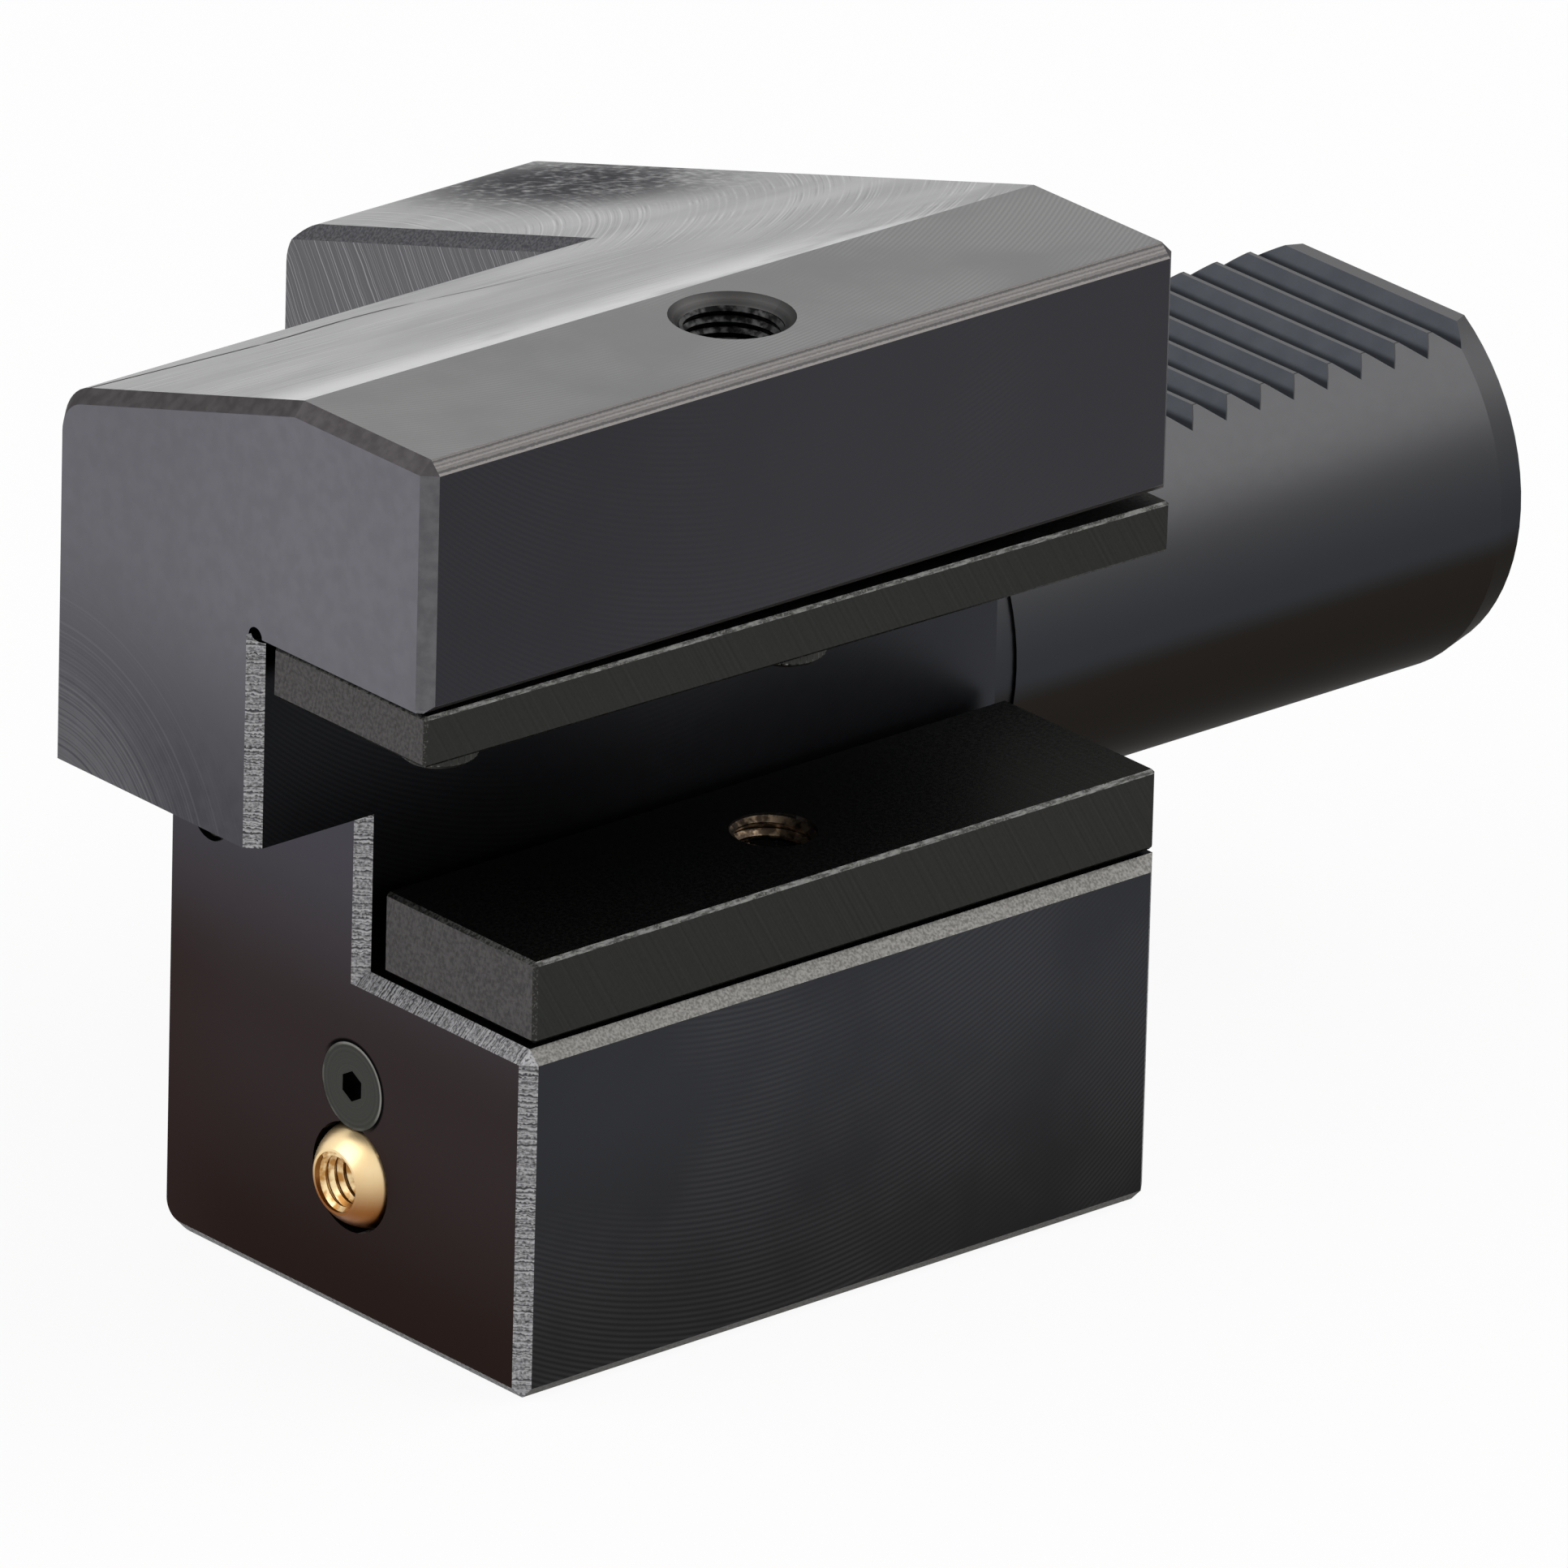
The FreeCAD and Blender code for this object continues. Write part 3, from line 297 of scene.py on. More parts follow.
def falling_face_tone(s, marks):
    """Silvery milled face, streaked by the cutter, with painted highlights along the streaks and by the
    ridge, smudged at the far rear and scored once.
    """
    smear = s.clouds(9.0, detail=5.0, stretch=(0.35, 1.0, 1.0))
    silver = s.tint(s.ramp(smear, 0.25, 0.75), (0.47, 0.47, 0.475), (0.62, 0.62, 0.62))
    patches = s.ramp(s.clouds(5.0, detail=4.0, stretch=(0.5, 1.0, 1.0)), 0.40, 0.62)
    silver = s.tint(s.both(s.both(s.ramp(marks, 0.46, 0.34), patches), 0.35), silver, (0.24, 0.24, 0.25))
    # Gleams: painted highlights along the high cutter streaks.
    gleam = s.both(s.ramp(marks, 0.52, 0.68), s.math("ADD", s.math("MULTIPLY", patches, 0.30), 0.10))
    silver = s.tint(gleam, silver, (0.95, 0.95, 0.95))
    # A painted highlight along the ridge.
    ridge_painted_highlight = s.both(s.ramp(s.y, -17.0, -23.5), s.ramp(smear, 0.38, 0.55))
    silver = s.tint(s.math("MULTIPLY", ridge_painted_highlight, 0.8), silver, (0.92, 0.92, 0.92))
    along_edge = s.math("MULTIPLY", s.math("ADD", s.x, 8.0), 1.7)
    spread = s.rings(along_edge, s.math("MULTIPLY", s.y, 0.9), 0.0, 27.0)
    streaks = s.clouds(0.5, detail=5.0, stretch=(1.0, 0.3, 1.0))
    ragged = s.math("ADD", s.math("MULTIPLY", s.clouds(6.0, detail=6.0, stretch=(1.0, 0.5, 1.0)), 0.55),
                    s.math("MULTIPLY", streaks, 0.65))
    smudge = s.both(s.ramp(spread, 26.0, 5.0), s.ramp(ragged, 0.32, 0.66))
    silver = s.tint(smudge, silver, (0.0, 0.0, 0.008))
    bulge = s.both(s.ramp(s.x, -68.0, -55.0), s.ramp(s.x, -41.0, -54.0))
    line_y = s.math("ADD", s.math("MULTIPLY", s.x, -0.161), -9.4)
    line_y = s.math("ADD", line_y, s.math("MULTIPLY", bulge, 1.7))
    score = s.ramp(s.math("ABSOLUTE", s.math("SUBTRACT", s.y, line_y)), 0.34, 0.08)
    score = s.both(s.both(score, s.ramp(s.x, -27.0, -60.0)), s.ramp(s.clouds(3.0), 0.3, 0.5))
    return s.tint(score, silver, (0.0, 0.0, 0.0))


def bare_edge_tone(s, face, fine, grain):
    """Chamfers: strokes across the edge below, smoother milled ones on the jaw. Also gives the strokes."""
    run = 0.0
    for place, normal in ((s.x, s.nx), (s.y, s.ny), (s.z, s.nz)):
        level = s.math("LESS_THAN", s.math("ABSOLUTE", normal), 0.3)
        run = s.math("ADD", run, s.math("MULTIPLY", place, level))
    waver = s.math("MULTIPLY", s.clouds(0.5), 0.6)
    strokes = s.math("ADD", s.math("MULTIPLY", s.lines(s.math("ADD", run, waver), 5.0, detail=3.0), 0.6),
                     s.math("MULTIPLY", grain, 0.4))
    upright = s.math("LESS_THAN", s.math("ABSOLUTE", s.nz), 0.3)
    faces_front = s.both(s.math("LESS_THAN", s.math("ABSOLUTE", s.nx), 0.3), s.math("LESS_THAN", s.ny, -0.5))
    on_jaw = s.ramp(s.z, 24.0, 25.5)

    rough = s.tint(s.ramp(strokes, 0.36, 0.64), (0.055, 0.055, 0.058), (0.42, 0.415, 0.425))
    floor_front = s.tint(s.ramp(grain, 0.3, 0.7), (0.088, 0.086, 0.081), (0.170, 0.165, 0.155))
    below = s.tint(faces_front, rough, floor_front)

    along = s.lines(s.math("ADD", s.y, s.math("MULTIPLY", grain, 0.15)), 4.0, detail=3.0)
    jaw_front = s.tint(s.ramp(along, 0.35, 0.65), (0.062, 0.059, 0.059), (0.150, 0.142, 0.138))
    jaw_end = s.tint(s.ramp(fine, 0.3, 0.7), (0.062, 0.057, 0.060), (0.085, 0.079, 0.082))
    jaw_upright = s.tint(s.ramp(fine, 0.3, 0.7), (0.108, 0.107, 0.116), (0.140, 0.138, 0.146))
    jaw = s.tint(faces_front, jaw_end, jaw_front)
    jaw = s.tint(upright, jaw, jaw_upright)
    return s.tint(on_jaw, below, jaw), strokes


def make_holder_steel():
    """Blackened steel: dark sides, a top painted paler by painted light, silvery falling face and rough bare
    chamfers, with painted light and shade on the ends, fronts, rack and shank.
    """
    s = Shade("blackened_holder_steel")
    face = holder_faces(s)
    mottle = s.clouds(22.0)
    fine = s.clouds(1.2, detail=4.0)
    grain = s.clouds(0.25, detail=2.0)
    colour = oxide_tone_with_painted_light(s, face, mottle)

    # Cutter paths: feed marks on the fronts and top, one cutter's arcs on the rest.
    front_feed = s.passes(s.z, s.x, centre=-43.0, radius=62.0)
    top_path = s.rings(s.x, s.y, -52.0, 38.0)
    end_path = s.rings(s.y, s.z, 6.5, -3.5)
    front_marks = s.both(s.feed_marks(front_feed, 0.55), s.ramp(s.clouds(18.0), 0.35, 0.65))
    top_marks = s.both(s.feed_marks(top_path, 0.47), s.ramp(s.clouds(12.0), 0.35, 0.65))
    straight = s.math("ADD", s.y, s.math("MULTIPLY", s.x, 0.10))
    on_arcs = s.ramp(s.math("ADD", s.x, s.math("MULTIPLY", s.y, 0.35)), -36.0, -22.0)
    slope_marks = s.blend(on_arcs, s.lines(straight, 3.2, detail=4.0), s.lines(top_path, 3.2, detail=4.0))
    reach = s.math("ADD", s.math("MULTIPLY", s.ramp(end_path, 20.0, 10.0), 0.8), s.ramp(end_path, 42.0, 16.0))
    corner = s.both(s.both(reach, face.upper_end), s.math("LESS_THAN", s.x, BEHIND_FLANGE))
    end_marks = s.both(s.lines(end_path, 3.4, detail=3.0), corner)
    lean = s.math("ADD", s.y, s.math("MULTIPLY", s.z, -0.65))
    scratches = s.lines(s.math("ADD", lean, s.math("MULTIPLY", s.clouds(9.0), 1.5)), 4.2, detail=4.0)

    colour = s.tint(face.slope, colour, falling_face_tone(s, slope_marks))
    edges, strokes = bare_edge_tone(s, face, fine, grain)
    colour = s.tint(face.chamfer, colour, edges)
    on_flange = s.both(face.chamfer, s.math("GREATER_THAN", s.x, BEHIND_FLANGE))
    rear_edge = s.both(on_flange, s.ramp(s.nx, -0.6, -0.65))
    colour = s.tint(s.both(rear_edge, s.ramp(s.z, 22.0, 23.0)), colour,
                    s.tint(s.ramp(grain, 0.3, 0.7), (0.060, 0.060, 0.066), (0.120, 0.119, 0.128)))

    # The countersink of the top hole is turned and dark.
    turned = s.lines(face.from_hole, 3.0)
    sink_tone = s.tint(turned, (0.036, 0.035, 0.035), (0.075, 0.073, 0.072))
    sink = s.both(face.countersink, s.math("SUBTRACT", 1.0, face.top))
    colour = s.tint(sink, colour, sink_tone)

    # A painted shadow: a dark ring beyond the keeper's head on its right and upper side, where its
    # countersunk seat shows.
    from_keeper = s.rings(s.y, s.z, NOZZLE[1], NOZZLE[2] + KEEPER_RISE)
    keeper_painted_shadow = s.both(s.ramp(from_keeper, 4.45, 4.2), s.ramp(s.math("SUBTRACT", s.z, s.y), -3.5, -0.5))
    colour = s.tint(s.both(face.end, keeper_painted_shadow), colour, (0.003, 0.003, 0.003))

    # Marks lighten the faces they cross a little, most on the flange behind the jaw.
    pale = (0.30, 0.295, 0.305)
    front_share = s.both(face.front, s.blend(s.ramp(s.z, 0.0, -12.0), 0.015, 0.05))
    colour = s.tint(s.both(front_marks, front_share), colour, pale)
    colour = s.tint(s.both(top_marks, s.math("MULTIPLY", face.top, 0.16)), colour, (0.6, 0.6, 0.6))
    colour = s.tint(s.both(s.ramp(end_marks, 0.35, 1.0), 0.22), colour, (0.34, 0.335, 0.345))
    colour = s.tint(s.both(s.ramp(scratches, 0.50, 0.72), s.math("MULTIPLY", face.behind, 0.6)), colour,
                    (0.40, 0.395, 0.41))

    level = s.both(front_marks, s.math("MULTIPLY", face.front, 0.25))
    level = s.math("ADD", level, s.both(top_marks, s.math("MULTIPLY", face.top, 0.45)))
    level = s.math("ADD", level, s.math("MULTIPLY", end_marks, 0.4))
    level = s.math("ADD", level, s.both(scratches, s.math("MULTIPLY", face.behind, 0.8)))
    level = s.blend(face.chamfer, level, s.math("MULTIPLY", strokes, 2.0))
    level = s.blend(face.slope, level, slope_marks)
    level = s.math("ADD", level, s.math("MULTIPLY", fine, 0.20))
    s.bump(level, 0.14)
    roughness = s.math("ADD", s.math("MULTIPLY", fine, 0.08), 0.34)
    low_shank = s.both(face.shank, s.ramp(s.z, 0.0, -8.0))
    roughness = s.blend(low_shank, roughness, 0.50)
    roughness = s.blend(face.chamfer, roughness, 0.5)
    s.shader.inputs["Specular Tint"].default_value = GRAZING_TINT
    return s.finish(colour, roughness, metallic=1.0)


def make_plate_steel():
    """Olive-black hardened plate with a ground hatch on its ends, thin worn edges and a painted highlight on
    its upward edges.
    """
    s = Shade("hardened_plate_steel")
    end = s.math("GREATER_THAN", s.math("ABSOLUTE", s.nx), SQUARE_ON)
    edge = s.slanting()
    top_edge = s.both(edge, s.math("GREATER_THAN", s.nz, 0.3))
    hatch = s.lines(s.math("ADD", s.y, s.math("MULTIPLY", s.z, 0.25)), 5.0, detail=3.0)
    strokes = s.lines(s.math("ADD", s.x, s.math("MULTIPLY", s.z, 0.6)), 3.0, detail=3.0)
    grain = s.ramp(s.clouds(0.35, detail=4.0), 0.34, 0.66)
    colour = s.tint(strokes, (0.024, 0.024, 0.0225), (0.038, 0.038, 0.0365))
    end_tone = s.tint(s.math("ADD", s.math("MULTIPLY", hatch, 0.5), s.math("MULTIPLY", grain, 0.5)),
                      (0.043, 0.041, 0.041), (0.122, 0.117, 0.116))
    colour = s.tint(end, colour, end_tone)
    wear = s.ramp(s.clouds(0.2, detail=4.0), 0.50, 0.68)
    colour = s.tint(s.both(edge, wear), colour, (0.09, 0.088, 0.082))
    # Upward-facing edges are painted a little brighter again: a painted highlight over the wear.
    bright = s.ramp(s.clouds(0.3, detail=5.0, stretch=(0.25, 1.0, 1.0)), 0.40, 0.62)
    colour = s.tint(s.both(top_edge, bright), colour, (0.10, 0.10, 0.096))
    level = s.blend(end, s.math("MULTIPLY", strokes, 0.5), hatch)
    s.bump(s.math("ADD", level, s.math("MULTIPLY", grain, 0.5)), 0.14)
    roughness = s.math("ADD", s.math("MULTIPLY", grain, 0.12), 0.36)
    s.shader.inputs["Specular Tint"].default_value = GRAZING_TINT
    return s.finish(colour, roughness, metallic=1.0)


def make_screw_steel():
    """Black screws with slightly lighter, rubbed rims."""
    s = Shade("black_screw_steel")
    grain = s.clouds(0.7, detail=4.0)
    colour = s.tint(grain, (0.022, 0.022, 0.020), (0.050, 0.050, 0.046))
    rub = s.both(s.slanting(), s.ramp(s.clouds(1.2), 0.4, 0.65))
    colour = s.tint(rub, colour, (0.18, 0.18, 0.17))
    s.bump(grain, 0.12)
    return s.finish(colour, s.math("ADD", s.math("MULTIPLY", grain, 0.2), 0.3), metallic=1.0)


def make_keeper_steel():
    """Olive-black countersunk head with turned rings, a rim with rubbed spots and a painted highlight on its
    upper right, and a socket painted with a pale floor as a painted glint and dark walls as painted shade.
    """
    s = Shade("keeper_screw_steel")
    radius = s.rings(s.y, s.z, NOZZLE[1], NOZZLE[2] + KEEPER_RISE)
    turned = s.lines(radius, 4.0)
    colour = s.tint(turned, (0.030, 0.0305, 0.027), (0.050, 0.050, 0.045))
    # The rim gets a painted highlight on its upper right side, over the rubbed spots all round.
    rubbed = s.ramp(s.math("SUBTRACT", s.z, s.y), -1.5, 2.5)
    spotted = s.math("MULTIPLY", s.ramp(s.clouds(1.5), 0.42, 0.6), 0.05)
    rub_and_painted_highlight = s.math("ADD", spotted, s.math("MULTIPLY", rubbed, 0.16))
    rim = s.both(s.ramp(radius, 3.70, 3.85), rub_and_painted_highlight)
    colour = s.tint(rim, colour, (0.90, 0.88, 0.82))
    # The socket is painted: a pale floor, a painted glint, and near-black walls, painted shade in the recess.
    socket = s.math("LESS_THAN", radius, 2.2)
    walls = s.both(socket, s.math("LESS_THAN", s.math("ABSOLUTE", s.nx), 0.9))
    pit = s.both(socket, s.math("GREATER_THAN", s.x, -71.9))
    colour = s.tint(pit, colour, (0.80, 0.80, 0.82))
    colour = s.tint(walls, colour, (0.006, 0.006, 0.006))
    s.bump(turned, 0.15)
    return s.finish(colour, 0.34, metallic=1.0)


def make_brass():
    """Turned brass, bright, with fine rings about the nozzle's axis, painted darker and browner towards the
    bottom as painted shade.
    """
    s = Shade("turned_brass")
    rings = s.lines(s.x, 5.0, detail=1.0)
    mottle = s.clouds(2.5)
    colour = s.tint(mottle, (0.90, 0.64, 0.31), (0.98, 0.79, 0.49))
    # The ball is painted darker and browner towards the bottom: painted shade.
    colour = s.tint(s.ramp(s.z, NOZZLE[2] + 2.8, NOZZLE[2] - 2.4), colour, (0.26, 0.095, 0.022))
    s.bump(rings, 0.04, 0.02)
    return s.finish(colour, s.math("ADD", s.math("MULTIPLY", rings, 0.10), 0.27), metallic=1.0)


def make_thread(name, dark, bright, spot_size):
    """Cut thread flanks with bright spots where the tap has burnished them."""
    s = Shade(name)
    spots = s.ramp(s.clouds(spot_size, detail=3.0), 0.40, 0.65)
    colour = s.tint(spots, dark, bright)
    s.bump(s.clouds(0.3), 0.1)
    return s.finish(colour, 0.32, metallic=1.0)


def make_rubber():
    s = Shade("seal_rubber")
    grain = s.clouds(0.4)
    colour = s.tint(grain, (0.012, 0.012, 0.012), (0.022, 0.022, 0.022))
    s.bump(grain, 0.1)
    return s.finish(colour, 0.55)


def make_spring_steel():
    s = Shade("spring_wire_steel")
    drawn = s.lines(s.rings(s.x, s.y, CLAMP_MIDDLE, CLAMP_LINE), 6.0)
    colour = s.tint(drawn, (0.22, 0.22, 0.23), (0.36, 0.36, 0.37))
    s.bump(drawn, 0.08)
    return s.finish(colour, 0.3, metallic=1.0)


def dress_node(name, material):
    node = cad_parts[name]
    for slot in node.material_slots:
        slot.material = material


def new_mesh(name, points, faces, material, smooth=True):
    mesh = bpy.data.meshes.new(name)
    mesh.from_pydata([tuple(value * MM for value in point) for point in points], [], faces)
    mesh.validate()
    for polygon in mesh.polygons:
        polygon.use_smooth = smooth
    piece = bpy.data.objects.new(name, mesh)
    bpy.context.scene.collection.objects.link(piece)
    mesh.materials.append(material)
    return piece


def inner_thread(name, centre, axis, length, wall, crest, pitch, material):
    """Closed helical ridge on the wall of a hole that starts at centre and runs along axis."""
    forward = Vector(axis).normalized()
    side = forward.orthogonal().normalized()
    other = forward.cross(side)
    steps = 40
    profile = ((-0.46, wall), (-0.07, crest), (0.07, crest), (0.46, wall))
    count = int(length / pitch * steps)
    points = []
    faces = []
    for step in range(count + 1):
        turn = 2 * math.pi * step / steps
        outward = side * math.cos(turn) + other * math.sin(turn)
        for offset, radius in profile:
            depth = min(max(pitch * (step / steps + offset), 0.0), length)
            points.append(Vector(centre) + forward * depth + outward * radius)
    width = len(profile)
    for step in range(count):
        for column in range(width):
            first = step * width + column
            beside = step * width + (column + 1) % width
            faces.append((first, beside, beside + width, first + width))
    faces.append(tuple(range(width - 1, -1, -1)))
    faces.append(tuple(count * width + column for column in range(width)))
    piece = new_mesh(name, points, faces, material)
    piece.data.set_sharp_from_angle(angle=math.radians(35.0))
    return piece


def turned_piece(name, centre, rings, material, sides=96):
    """Upright turned body through rings of (height, radius function of the angle)."""
    points = []
    for height, radius in rings:
        for side in range(sides):
            turn = 2 * math.pi * side / sides
            reach = radius(turn)
            points.append((centre[0] + reach * math.cos(turn), centre[1] + reach * math.sin(turn),
                           centre[2] + height))
    faces = []
    for ring in range(len(rings) - 1):
        for side in range(sides):
            following = (side + 1) % sides
            a = ring * sides
            b = a + sides
            faces.append((a + side, a + following, b + following, b + side))
    faces.append(tuple(range(sides - 1, -1, -1)))
    last = (len(rings) - 1) * sides
    faces.append(tuple(last + side for side in range(sides)))
    return new_mesh(name, points, faces, material, smooth=False)


def round_at(radius):
    return lambda turn: radius


def hexagon_at(width):
    def reach(turn):
        return width / 2 / math.cos((turn + math.pi / 6) % (math.pi / 3) - math.pi / 6)
    return reach


def knurled_at(radius, depth=0.16, ridges=32):
    return lambda turn: radius - depth * abs(math.sin(turn * ridges / 2))


def knurled_screw(name, x, low, material):
    """M4 cap screw, head down, with a knurled head and a hexagon socket."""
    head = 4.0
    rings = (
        (1.9, round_at(0.4)),
        (2.0, hexagon_at(3.0)),
        (0.0, hexagon_at(3.0)),
        (0.0, round_at(2.9)),
        (0.35, round_at(3.3)),
        (0.5, knurled_at(3.5)),
        (head - 0.35, knurled_at(3.5)),
        (head, round_at(3.3)),
        (head, round_at(2.0)),
        (head + 9.6, round_at(2.0)),
        (head + 10.0, round_at(1.6)),
    )
    piece = turned_piece(name + "_knurled", (x, -38.3, low), rings, material)
    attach(piece, "holder")
    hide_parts(name)


def round_seal(material):
    """O-ring in the recess round the coolant inlet."""
    middle = 6.2 - 0.9 - 0.05
    cord = 0.88
    around = 72
    section = 16
    points = []
    faces = []
    for step in range(around):
        turn = 2 * math.pi * step / around
        for part in range(section):
            tilt = 2 * math.pi * part / section
            reach = middle + cord * math.cos(tilt)
            points.append((-0.9 + cord * math.sin(tilt), NOZZLE[1] + reach * math.cos(turn),
                           NOZZLE[2] + reach * math.sin(turn)))
    for step in range(around):
        for part in range(section):
            a = step * section
            b = (step + 1) % around * section
            following = (part + 1) % section
            faces.append((a + part, b + part, b + following, a + following))
    piece = new_mesh("inlet_o_ring", points, faces, material)
    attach(piece, "holder")
    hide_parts("coolant_inlet_seal")


def return_spring(material):
    """Wound spring between its shoulder above and the washer below."""
    wire = 0.7
    coil = 6.1
    turns = 4
    shoulder = -15.75
    washer_top = -28.75
    room = shoulder - washer_top
    around = 44
    section = 14
    last = turns * around
    points = []
    faces = []
    for step in range(last + 1):
        turn = 2 * math.pi * step / around
        height = washer_top + wire + (room - 2 * wire) * step / last
        for part in range(section):
            tilt = 2 * math.pi * part / section
            reach = coil + wire * math.cos(tilt)
            points.append((CLAMP_MIDDLE + reach * math.cos(turn), CLAMP_LINE + reach * math.sin(turn),
                           height + wire * math.sin(tilt)))
    for step in range(last):
        for part in range(section):
            a = step * section
            b = a + section
            following = (part + 1) % section
            faces.append((a + part, b + part, b + following, a + following))
    faces.append(tuple(range(section)))
    faces.append(tuple(last * section + part for part in range(section - 1, -1, -1)))
    piece = new_mesh("wound_return_spring", points, faces, material)
    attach(piece, "holder")
    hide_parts("plate_return_spring")
    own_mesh(piece)


def add_threads(dark_thread, bright_thread, brass_thread):
    top = inner_thread("top_hole_thread", TOP_HOLE + (TOP_HEIGHT - 0.9,), (0, 0, -1), 21.5, 4.58, 4.25, 1.0,
                       dark_thread)
    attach(top, "holder")
    plate = inner_thread("plate_hole_thread", (CLAMP_MIDDLE, CLAMP_LINE, PLATE_TOP - 0.2), (0, 0, -1), 3.0,
                         3.87, 3.4, 1.25, bright_thread)
    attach(plate, "clamp")
    nozzle = inner_thread("nozzle_thread", (NOZZLE[0] - 3.9, NOZZLE[1], NOZZLE[2]), (1, 0, 0), 5.7,
                          2.73, 2.38, 1.0, brass_thread)
    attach(nozzle, "nozzle")
    for number, x in enumerate(CLAMP_SPOTS, start=1):
        hole = inner_thread("clamp_hole_thread_%d" % number, (x, CLAMP_LINE, -BASE_DROP + 0.2), (0, 0, 1),
                            2.5, 6.02, 5.3, 1.75, dark_thread)
        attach(hole, "holder")


def make_camera():
    """Camera at the photograph's angle, with a long lens."""
    azimuth = math.radians(-41.278)
    elevation = math.radians(22.773)
    roll = math.radians(1.489)
    target = Vector((-20.0, -15.035, -6.932)) * MM
    distance = 2.4076
    back = Vector((math.sin(azimuth) * math.cos(elevation), -math.cos(azimuth) * math.cos(elevation),
                   math.sin(elevation)))
    level = Vector((0, 0, 1)).cross(back).normalized()
    upright = back.cross(level)
    right = level * math.cos(roll) + upright * math.sin(roll)
    up = upright * math.cos(roll) - level * math.sin(roll)
    camera_data = bpy.data.cameras.new("photo_camera")
    camera_data.sensor_width = 36.0
    camera_data.lens = 630.84
    camera_data.clip_end = 50.0
    camera = bpy.data.objects.new("photo_camera", camera_data)
    turn = Matrix((right, up, back)).transposed().to_4x4()
    camera.matrix_world = Matrix.Translation(target + back * distance) @ turn
    bpy.context.scene.collection.objects.link(camera)
    bpy.context.scene.camera = camera


def soft_lamp(name, place, size, power, aim=(-0.02, 0.0, 0.0)):
    lamp_data = bpy.data.lights.new(name, "AREA")
    lamp_data.shape = "RECTANGLE"
    lamp_data.size, lamp_data.size_y = size
    lamp_data.energy = power
    lamp = bpy.data.objects.new(name, lamp_data)
    lamp.location = place
    lamp.rotation_euler = (Vector(aim) - Vector(place)).to_track_quat("-Z", "Y").to_euler()
    bpy.context.scene.collection.objects.link(lamp)


def seen_directly(tree):
    """1 for camera, glossy and transmission rays."""
    path = tree.nodes.new("ShaderNodeLightPath")
    total = path.outputs["Is Camera Ray"]
    for name in ("Is Glossy Ray", "Is Transmission Ray"):
        node = tree.nodes.new("ShaderNodeMath")
        node.operation = "MAXIMUM"
        tree.links.new(total, node.inputs[0])
        tree.links.new(path.outputs[name], node.inputs[1])
        total = node.outputs[0]
    return total


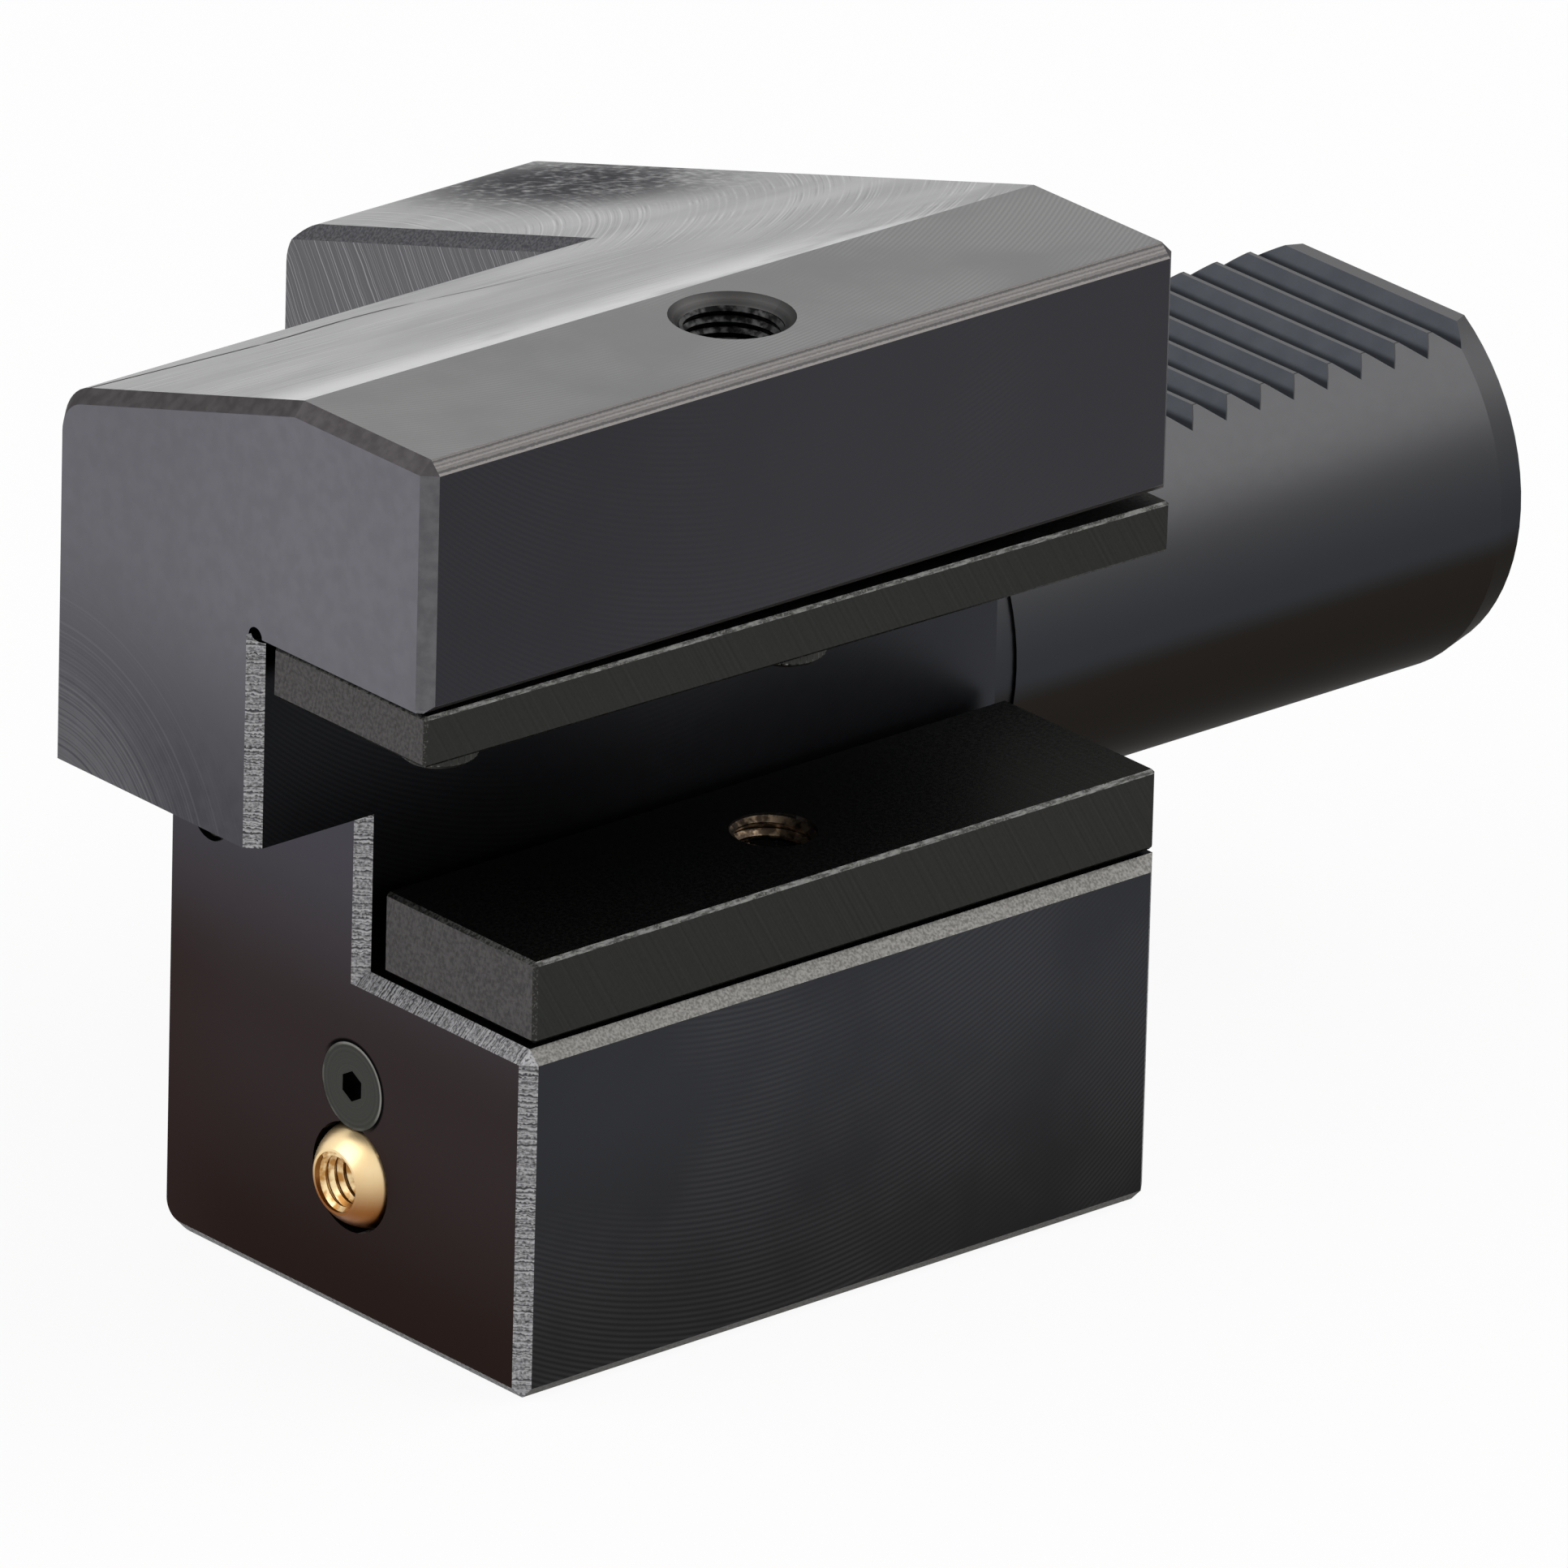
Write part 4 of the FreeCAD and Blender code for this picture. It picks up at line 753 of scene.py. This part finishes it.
def make_studio():
    """Pale floor that is clear from below, white surroundings and soft lamps at a plain level."""
    world = bpy.data.worlds.new("studio")
    bpy.context.scene.world = world
    world.use_nodes = True
    tree = world.node_tree
    background = tree.nodes["Background"]
    background.inputs["Color"].default_value = (1.0, 1.0, 1.0, 1.0)
    strength = tree.nodes.new("ShaderNodeMix")
    strength.data_type = "FLOAT"
    strength.inputs[2].default_value = 0.45
    strength.inputs[3].default_value = 1.0
    tree.links.new(seen_directly(tree), strength.inputs[0])
    tree.links.new(strength.outputs[0], background.inputs["Strength"])

    soft_lamp("shank_key", (0.88, -0.53, 0.97), (1.4, 1.4), 11.5, aim=(0.03, 0.0, 0.0))
    soft_lamp("left_fill", (-1.12, 0.42, 0.98), (1.5, 1.5), 8.0)

    half = 4.0
    low = -(BASE_DROP + FLOOR_GAP) * MM
    mesh = bpy.data.meshes.new("floor")
    mesh.from_pydata([(-half, -half, low), (half, -half, low), (half, half, low), (-half, half, low)], [],
                     [(0, 1, 2, 3)])
    floor = bpy.data.objects.new("floor", mesh)
    bpy.context.scene.collection.objects.link(floor)
    material = bpy.data.materials.new("pale_floor")
    material.use_nodes = True
    tree = material.node_tree
    shader = tree.nodes["Principled BSDF"]
    shader.inputs["Base Color"].default_value = (0.93, 0.93, 0.93, 1.0)
    shader.inputs["Roughness"].default_value = 0.9
    shader.inputs["Specular IOR Level"].default_value = 0.0
    glow = tree.nodes.new("ShaderNodeEmission")
    glow.inputs["Strength"].default_value = 1.0
    mix = tree.nodes.new("ShaderNodeMixShader")
    share = tree.nodes.new("ShaderNodeMath")
    share.operation = "MULTIPLY"
    share.inputs[1].default_value = 0.92
    tree.links.new(seen_directly(tree), share.inputs[0])
    tree.links.new(share.outputs[0], mix.inputs[0])
    tree.links.new(shader.outputs[0], mix.inputs[1])
    tree.links.new(glow.outputs[0], mix.inputs[2])
    clear = tree.nodes.new("ShaderNodeBsdfTransparent")
    side = tree.nodes.new("ShaderNodeNewGeometry")
    one_sided = tree.nodes.new("ShaderNodeMixShader")
    tree.links.new(side.outputs["Backfacing"], one_sided.inputs[0])
    tree.links.new(mix.outputs[0], one_sided.inputs[1])
    tree.links.new(clear.outputs[0], one_sided.inputs[2])
    tree.links.new(one_sided.outputs[0], tree.nodes["Material Output"].inputs["Surface"])
    mesh.materials.append(material)


def dress_nodes():
    holder_steel = make_holder_steel()
    plate_steel = make_plate_steel()
    screw_steel = make_screw_steel()
    brass = make_brass()
    rubber = make_rubber()
    dress_node("holder_body", holder_steel)
    for name in ("clamping_plate", "shim_plate"):
        dress_node(name, plate_steel)
    for name in ("clamp_screw_outer", "clamp_screw_inner", "plate_retaining_screw", "spring_washer",
                 "end_channel_plug", "rear_channel_plug", "base_channel_plug", "shim_screw_outer",
                 "shim_screw_inner"):
        dress_node(name, screw_steel)
    dress_node("nozzle_retaining_screw", make_keeper_steel())
    for name in ("ball_nozzle", "nozzle_seat_ring"):
        dress_node(name, brass)
    for name in ("nozzle_seal", "coolant_inlet_seal"):
        dress_node(name, rubber)
    spring_steel = make_spring_steel()
    dress_node("plate_return_spring", spring_steel)
    dark_thread = make_thread("dark_cut_thread", (0.005, 0.005, 0.005), (0.040, 0.040, 0.040), 0.8)
    bright_thread = make_thread("bright_cut_thread", (0.07, 0.05, 0.035), (0.45, 0.33, 0.22), 0.9)
    brass_thread = make_thread("brass_cut_thread", (0.45, 0.22, 0.06), (0.95, 0.74, 0.42), 1.2)
    add_threads(dark_thread, bright_thread, brass_thread)
    knurled_screw("shim_screw_outer", -79.8, 18.75, screw_steel)
    knurled_screw("shim_screw_inner", -40.6, 18.25, screw_steel)
    round_seal(rubber)
    return_spring(spring_steel)


make_camera()
make_studio()
dress_nodes()
bpy.context.scene.view_settings.view_transform = "Standard"
